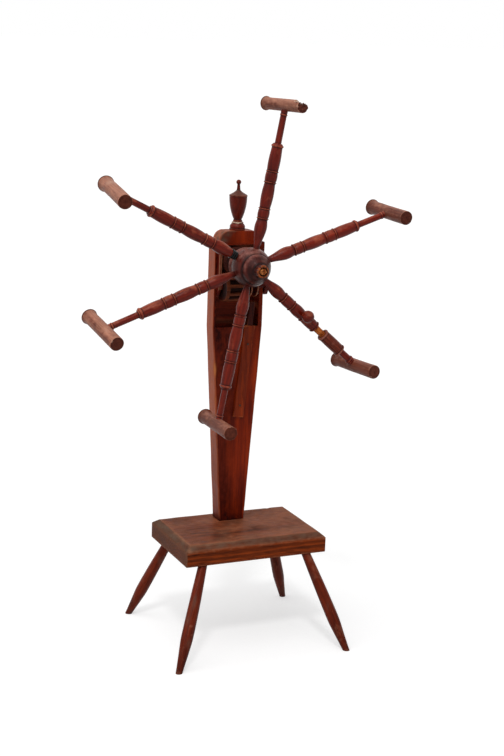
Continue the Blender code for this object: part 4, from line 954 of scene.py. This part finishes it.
def arm_frame(row):
    """Origin on the axle's line, Z out along the arm and Y along its crossbar."""
    angle, aside = math.radians(arm_angles[row]), -0.0051 * (row == crooked)
    along_axle = hub_radius / 1000 * arm_shifts[row]
    origin = hub_centre + Vector((-math.sin(angle) * aside, along_axle, math.cos(angle) * aside))
    outwards = turned("Y", 90 - arm_angles[row]) @ turned("Z", arm_twists[row])
    return Matrix.Translation(origin) @ outwards


def half_round(low, high, radius, rise):
    """A raised ring: the upper half of an ellipse over a plain radius."""
    across = np.linspace(-1, 1, 9)
    return paired((low + high) / 2 + across * (high - low) / 2,
                  radius + rise * np.sqrt(1 - across ** 2))


def ring_pair(low, high, radius):
    """A cut line, a ring, a low bead and a second ring and cut line."""
    floor, rise, edge, ring = radius - 0.9, 1.6, 0.7, 2.0
    bead = np.linspace(0, np.pi, 12)[1:-1]
    inner_low, inner_high = low + edge + ring, high - edge - ring
    return joined(
        [[low, radius - 0.5], [low + 0.4, floor]], half_round(low + edge, inner_low, floor, rise),
        [[inner_low + 0.3, floor]],
        paired(inner_low + 0.8 + (inner_high - inner_low - 1.6) * bead / np.pi,
               radius - 0.5 + 0.6 * np.sin(bead)),
        [[inner_high - 0.3, floor]], half_round(inner_high, high - edge, floor, rise),
        [[high - 0.4, floor], [high, radius - 0.5]])


def arm_root(rings_low, rings_high):
    """The dowel's end, a slim root that swells to a belly past its middle and draws in again, and
    the first pair of rings."""
    low, share = arm_start - 3.5, np.linspace(0, 1, 40)
    swell = np.sin(np.pi * share ** 1.7) ** 1.2
    vase = paired(low + (rings_low - 0.3 - low) * share, 5.4 + 3.9 * share + 3.2 * swell)
    return joined([[low - 1.0, 4.4], [low - 0.5, 5.2]], vase,
                  ring_pair(rings_low, rings_high, 10.6))


def spindle(reach):
    """An arm's outline, with its rings at listed shares of its bare length."""
    high = reel_radius * reach - bar_radius
    at = arm_start + (high - arm_start) * np.array([0.208, 0.294, 0.476, 0.571, 0.742, 0.764])
    stem, collar = at[5], high - 7.7
    return joined(
        arm_root(at[0], at[1]), belly(at[1] + 0.4, at[2] - 0.4, 9.6, 9.8, 1.5, 0.5, 26),
        ring_pair(at[2], at[3], 11.0), belly(at[3] + 0.4, at[4] - 0.4, 10.1, 9.7, 1.0, 0.42, 26),
        half_round(at[4], stem - 0.8, 9.6, 1.5),
        [[stem - 0.4, 9.3], [stem, 8.9], [stem + 1.0, 8.7], [stem + 1.4, 8.0], [stem + 1.7, 6.6]],
        run(stem + 2.2, 6.0, collar + 1.2, 5.8, 20),
        half_round(collar + 1.8, collar + 4.6, 6.0, 0.8),
        [[collar + 5.0, 5.8], [high - 1.6, 5.9], [high - 0.4, 6.2], [high + 4.0, 6.0]])


for row, name in enumerate(arm_names):
    if name != "crank":
        outline = spindle(arm_reaches[row])
        root_dirt = 0.7 * bell(outline[:, :1], arm_start, 4.0)
        turned_piece("arm_" + name, outline, arm_wood, arm_frame(row), row + 1,
                     out_of_round=0.006, bend=0.0006, dirt_by=root_dirt)


# A crossbar on the end of each arm, round and nearly plain, flaring to a lip at the back that
# keeps the yarn on. Yarn and hands have rubbed the stain dull; the front ends are worn and nicked,
# and the top one's has split off. Their upper sides carry a painted highlight.

bar_wood = stained_wood(
    "bar_wood", dark=(80, 30, 20), body=(136, 70, 50), rubbed=(190, 130, 106), raw=(250, 218, 194),
    ring=0.0024, ring_depth=0.15, streak_scale=520.0, pores=0.45, roughness=0.42)
half_bar, bar_sides = 64.0, 56
bar_rubs = (0.26, -0.16, -0.36, -0.2, 0.2, 0.4)
bar_widths = (0.87, 1.0, 1.0, 1.0, 1.0, 1.02)
bar_tilts = (-2.0, 0.0, -3.6, 0.0, 0.0, 0.0)
crank_bar_out = 6.0


def bar_outline(width=1.0):
    """Straight, then flaring to the back lip by the cube of the way along its last 16 mm."""
    flare = np.linspace(0, 1, 14)
    return (1, width) * joined(
        end_face(-half_bar, 12.6, 0.8, -1), run(1.4 - half_bar, 12.7, half_bar - 16.5, 12.4, 60),
        paired(half_bar - 16.0 + 15.0 * flare, 12.4 + 2.2 * flare ** 3),
        end_face(half_bar, 14.7, 0.7, 1))


def bar_marks(row):
    """Nicks at the front rim, dirt on the end faces, and bare patches where the stain has gone."""
    outline = bar_outline()
    high, wide = outline[:, :1], outline[:, 1:]
    local, _ = turned_grid(outline, bar_sides, Matrix())
    nick = bell(high, 0.5 - half_bar, 2.8) * (wide > 10.0)
    nick = nick * held(ripple(local, 0.012, row + 31) - 0.9)
    front = (high < 0.4 - half_bar) * (wide < 12.2)
    back = (high > half_bar - 1.2) * (wide < 13.9)
    lip_edge = (high > half_bar - 2.4) * (wide > 13.4)
    turning_lines = 0.12 * np.sin(wide / 2.2 * 2 * np.pi)
    patch = held(ripple(local * (1, 1, 0.35), 0.013, row + 90) - 1.35)
    if row == crooked:
        away = np.hypot(local[..., 0] - 0.008, local[..., 2] * 0.5 - 0.012)
        patch = patch + 0.8 * ramp(away, 1.3 * 0.006, -0.006)
    return nick, (0.58 + turning_lines) * front + 0.5 * back + 0.75 * lip_edge, patch


for row, name in enumerate(arm_names):
    bar_out = reel_radius * arm_reaches[row] + (name == "crank") * crank_bar_out
    bar_frame = arm_frame(row) @ Matrix.Translation((0.0, 0.0, bar_out / 1000)) @ along_y
    bar_frame = bar_frame @ turned("X", bar_tilts[row])
    sides = np.array(bar_frame)[:3, :3]
    outline = bar_outline(bar_widths[row])
    local, grid = turned_grid(outline, bar_sides, bar_frame, row, 0.008, 0.0005)
    x, y, z = np.moveaxis(local, -1, 0)
    wear, dirt = turned_marks(outline)
    nick, face_dirt, patch = bar_marks(row)
    outwards = local[..., :2] @ sides[:, :2].T / np.maximum(np.hypot(x, y), 1e-6)[..., None]
    grid -= outwards * (0.0014 * nick + 0.00007 * ripple(local, 0.03, row + 3))[..., None]
    bare = 0.25 * nick + 0.28 * patch
    if name == "top":
        # Every point over a slanting, splintered line drops to it, and the end is drawn back.
        splinter = 0.0012 * ripple(local, 0.0065, 61) + 0.0006 * ripple(local, 0.003, 62)
        over = -y - 0.0042 - splinter - 0.06 * (z + half_bar / 1000)
        drop = np.maximum(over, 0) * ramp(0.35 * x + 2 * splinter - z, 0.032, 0.0022)
        short = 0.0095 + 0.0011 * ripple(local * (1, 1, 0), 0.0055, 64)
        short = short * ramp(z, -0.04, -0.024)
        grid += sides[:, 1] * drop[..., None] + sides[:, 2] * short[..., None]
        torn = held(drop / 0.001)
        pale = bell(z, -0.035, 0.006) + 0.9 * held(ripple(local * (1, 1, 0.4), 0.004, 63) - 0.5)
        bare = bare + 1.2 * torn * pale
        face_dirt = face_dirt + 0.55 * torn * (1 - held(pale))
    clean = face_dirt < 0.3
    drawn_out = ripple(local * (1, 1, 0.22), 0.014, row + 7)
    # The upper sides are made paler through the wear mark: a painted highlight.
    rub_and_highlight = 0.13 * drawn_out + 0.26 + bar_rubs[row] + 0.48 * facing_up(bar_frame, bar_sides)
    wear = (0.25 + 0.45 * (outline[:, :1] > 0)) * wear + held(rub_and_highlight) * clean
    dust = np.clip(0.14 + 0.1 * ripple(local * (1, 1, 0.4), 0.02, row + 55), 0, 0.4) * clean
    finished(skin("crossbar_turning", grid), "crossbar_" + name, bar_wood,
             local + (0.4 * row, 0.02, 0.3 * row), wear, dirt + face_dirt, bare, dust)


# The sixth arm folds, so that a finished skein can be slipped off. Its inner half ends in a forked
# knuckle, its outer half in a bare tongue, pinned together; a ringed sleeve slides over the joint
# to lock it, and a ball knob on the inner half is the handle that turns the reel.

crank = arm_names.index("crank")
crank_frame = arm_frame(crank)
crank_end = reel_radius * arm_reaches[crank] - bar_radius - 0.3
knuckle, knob_place = arm_start + (crank_end - arm_start) * np.array([0.6392, 0.4338])
inner_end = knuckle - 11.4
at = arm_start + (inner_end - arm_start) * np.array([0.352, 0.541, 0.742])
slot, tongue, cheek_radius, clear = 2.3, 2.0, 6.4, 9.6
inner = joined(
    arm_root(at[0], at[1]), belly(at[1] + 0.4, at[2] - 0.4, 9.6, 9.7, 1.4, 0.5, 26),
    ring_pair(at[2], inner_end - 1.2, 10.7),
    [[inner_end - 0.8, 9.4], [inner_end, 8.8], [inner_end + 0.2, 6.6]],
    arc(knuckle, cheek_radius, 90, 8, 12))
fork = ((-clear, -slot, (knuckle + inner_end) / 2 - 3.2), (clear, slot, knuckle + clear))
turned_piece("crank_arm_inner", inner, arm_wood, crank_frame, 8, highlight_above=0.0, cutters=[fork],
             bare_by=0.9 * (inner[:, :1] > inner_end + 0.1))
outer_frame = crank_frame @ Matrix.Translation((0.0, 0.0, knuckle / 1000))
high = crank_end - knuckle + crank_bar_out
outer = joined(
    arc(0.0, cheek_radius, 172, 90, 12), run(2.0, cheek_radius, high - 8.5, cheek_radius, 40),
    [[high - 8.0, 7.0]], half_round(high - 7.7, high - 4.3, 7.0, 1.2), [[high - 3.8, 6.9]],
    half_round(high - 3.4, high - 0.8, 6.9, 0.9), [[high, 7.0], [high + 4.0, 6.2]])
flats = (((-clear, -20.0, -clear), (clear, -tongue, 7.0)),
         ((-clear, tongue, -clear), (clear, 20.0, 7.0)))
turned_piece("crank_arm_outer", outer, arm_wood, outer_frame, 9, highlight_above=0.0, cutters=flats,
             bare_by=0.9 * (outer[:, :1] < 12.0))

sleeve_wood = stained_wood(
    "sleeve_wood", dark=(58, 16, 9), body=(130, 54, 34), rubbed=(158, 96, 80), ring_depth=0.35,
    streaks=1.3, streak_scale=420.0, pores=0.7)
low, high, bore, sleeve_radius = 9.0, 9.0 + (high - crank_bar_out) * 0.581, 7.2, 11.0
sleeve = joined(
    run(low, bore, low, 10.8, 4), half_round(low + 0.2, low + 3.6, sleeve_radius, 1.0),
    [[low + 4.2, 10.6]],
    belly(low + 4.8, high - 4.8, sleeve_radius, sleeve_radius, 0.3, 0.5, 24),
    [[high - 4.2, 10.6]], half_round(high - 3.6, high - 0.2, sleeve_radius, 1.0),
    run(high, 10.8, high, bore, 4), run(high - 0.8, bore - 0.1, low + 0.8, bore - 0.1, 12))
local, sleeve_grid = turned_grid(sleeve, piece_sides, outer_frame, 4, 0.003)
wear, dirt = turned_marks(sleeve)
finished(skin("sleeve_turning", sleeve_grid, ring_closed=True), "locking_sleeve", sleeve_wood,
         local + (0.2, 0.1, 3.0), 0.6 * wear + 0.3 * held(ripple(sleeve_grid, 0.02, 5)),
         dirt + 0.8 * (sleeve[:, 1:] < bore + 0.2))

foot_low, foot_high = 10.7, 12.6
knob = joined(run(6.0, 3.6, 10.8, 3.6, 5), [[11.2, 6.0], [11.8, 6.6], [12.4, 6.4]],
              arc(23.75, 11.5, 144, 3, 40))
knob_foot = (knob[:, :1] > foot_low) * (knob[:, :1] < foot_high) * (knob[:, 1:] > 4.0)
knob_frame = crank_frame @ Matrix.Translation((0, 0, knob_place / 1000)) @ facing_front
turned_piece("crank_knob", knob, arm_wood, knob_frame, 11,
             dirt_by=0.34 * (knob[:, :1] > foot_high), bare_by=0.75 * knob_foot)


# Where the upper left arm has worked loose in its socket, someone has bound its root with black
# tape, wound tight and shiny with age, and dulled in patches by fine dust.

black_tape, tree, shader = new_finish("black_tape")
tape_place = add_node(tree, "ShaderNodeAttribute", attribute_name="grain_place").outputs["Vector"]
patches = speckle(tree, tape_place, 1.0, 260.0, 4.0)
creases = add_node(tree, "ShaderNodeBump", {
    "Strength": 0.5, "Distance": 0.0004, "Height": patches})
dulled = spread(tree, patches, 0.4, 0.7)
feed(tree, shader, {
    "Base Color": blend(tree, dulled, stain(4, 4, 5), stain(17, 16, 16)),
    "Roughness": spread(tree, patches, 0.35, 0.65, 0.12, 0.3), "Specular IOR Level": 0.14,
    "Normal": creases.outputs["Normal"]})
bound_arm = spindle(arm_reaches[crooked])
low, high, lap = 36.8, 49.0, 4.3
along = np.linspace(low, high, 50)
under = np.interp(along, bound_arm[:, 0], bound_arm[:, 1]) + 0.3
edge = np.minimum(1.0, np.minimum(along - low, high - along) / 0.7)
over = under + 1.3 * np.sqrt(edge) + 0.22 * np.abs(np.sin((along - low) / lap * np.pi))
band = joined(paired(along, over), paired(along, under)[::-1])
band[[0, 49], 1] += 0.4
local, band_grid = turned_grid(band, 40, arm_frame(crooked), 3)
finished(skin("tape_winding", band_grid, ring_closed=True), "mending_band", black_tape, local)
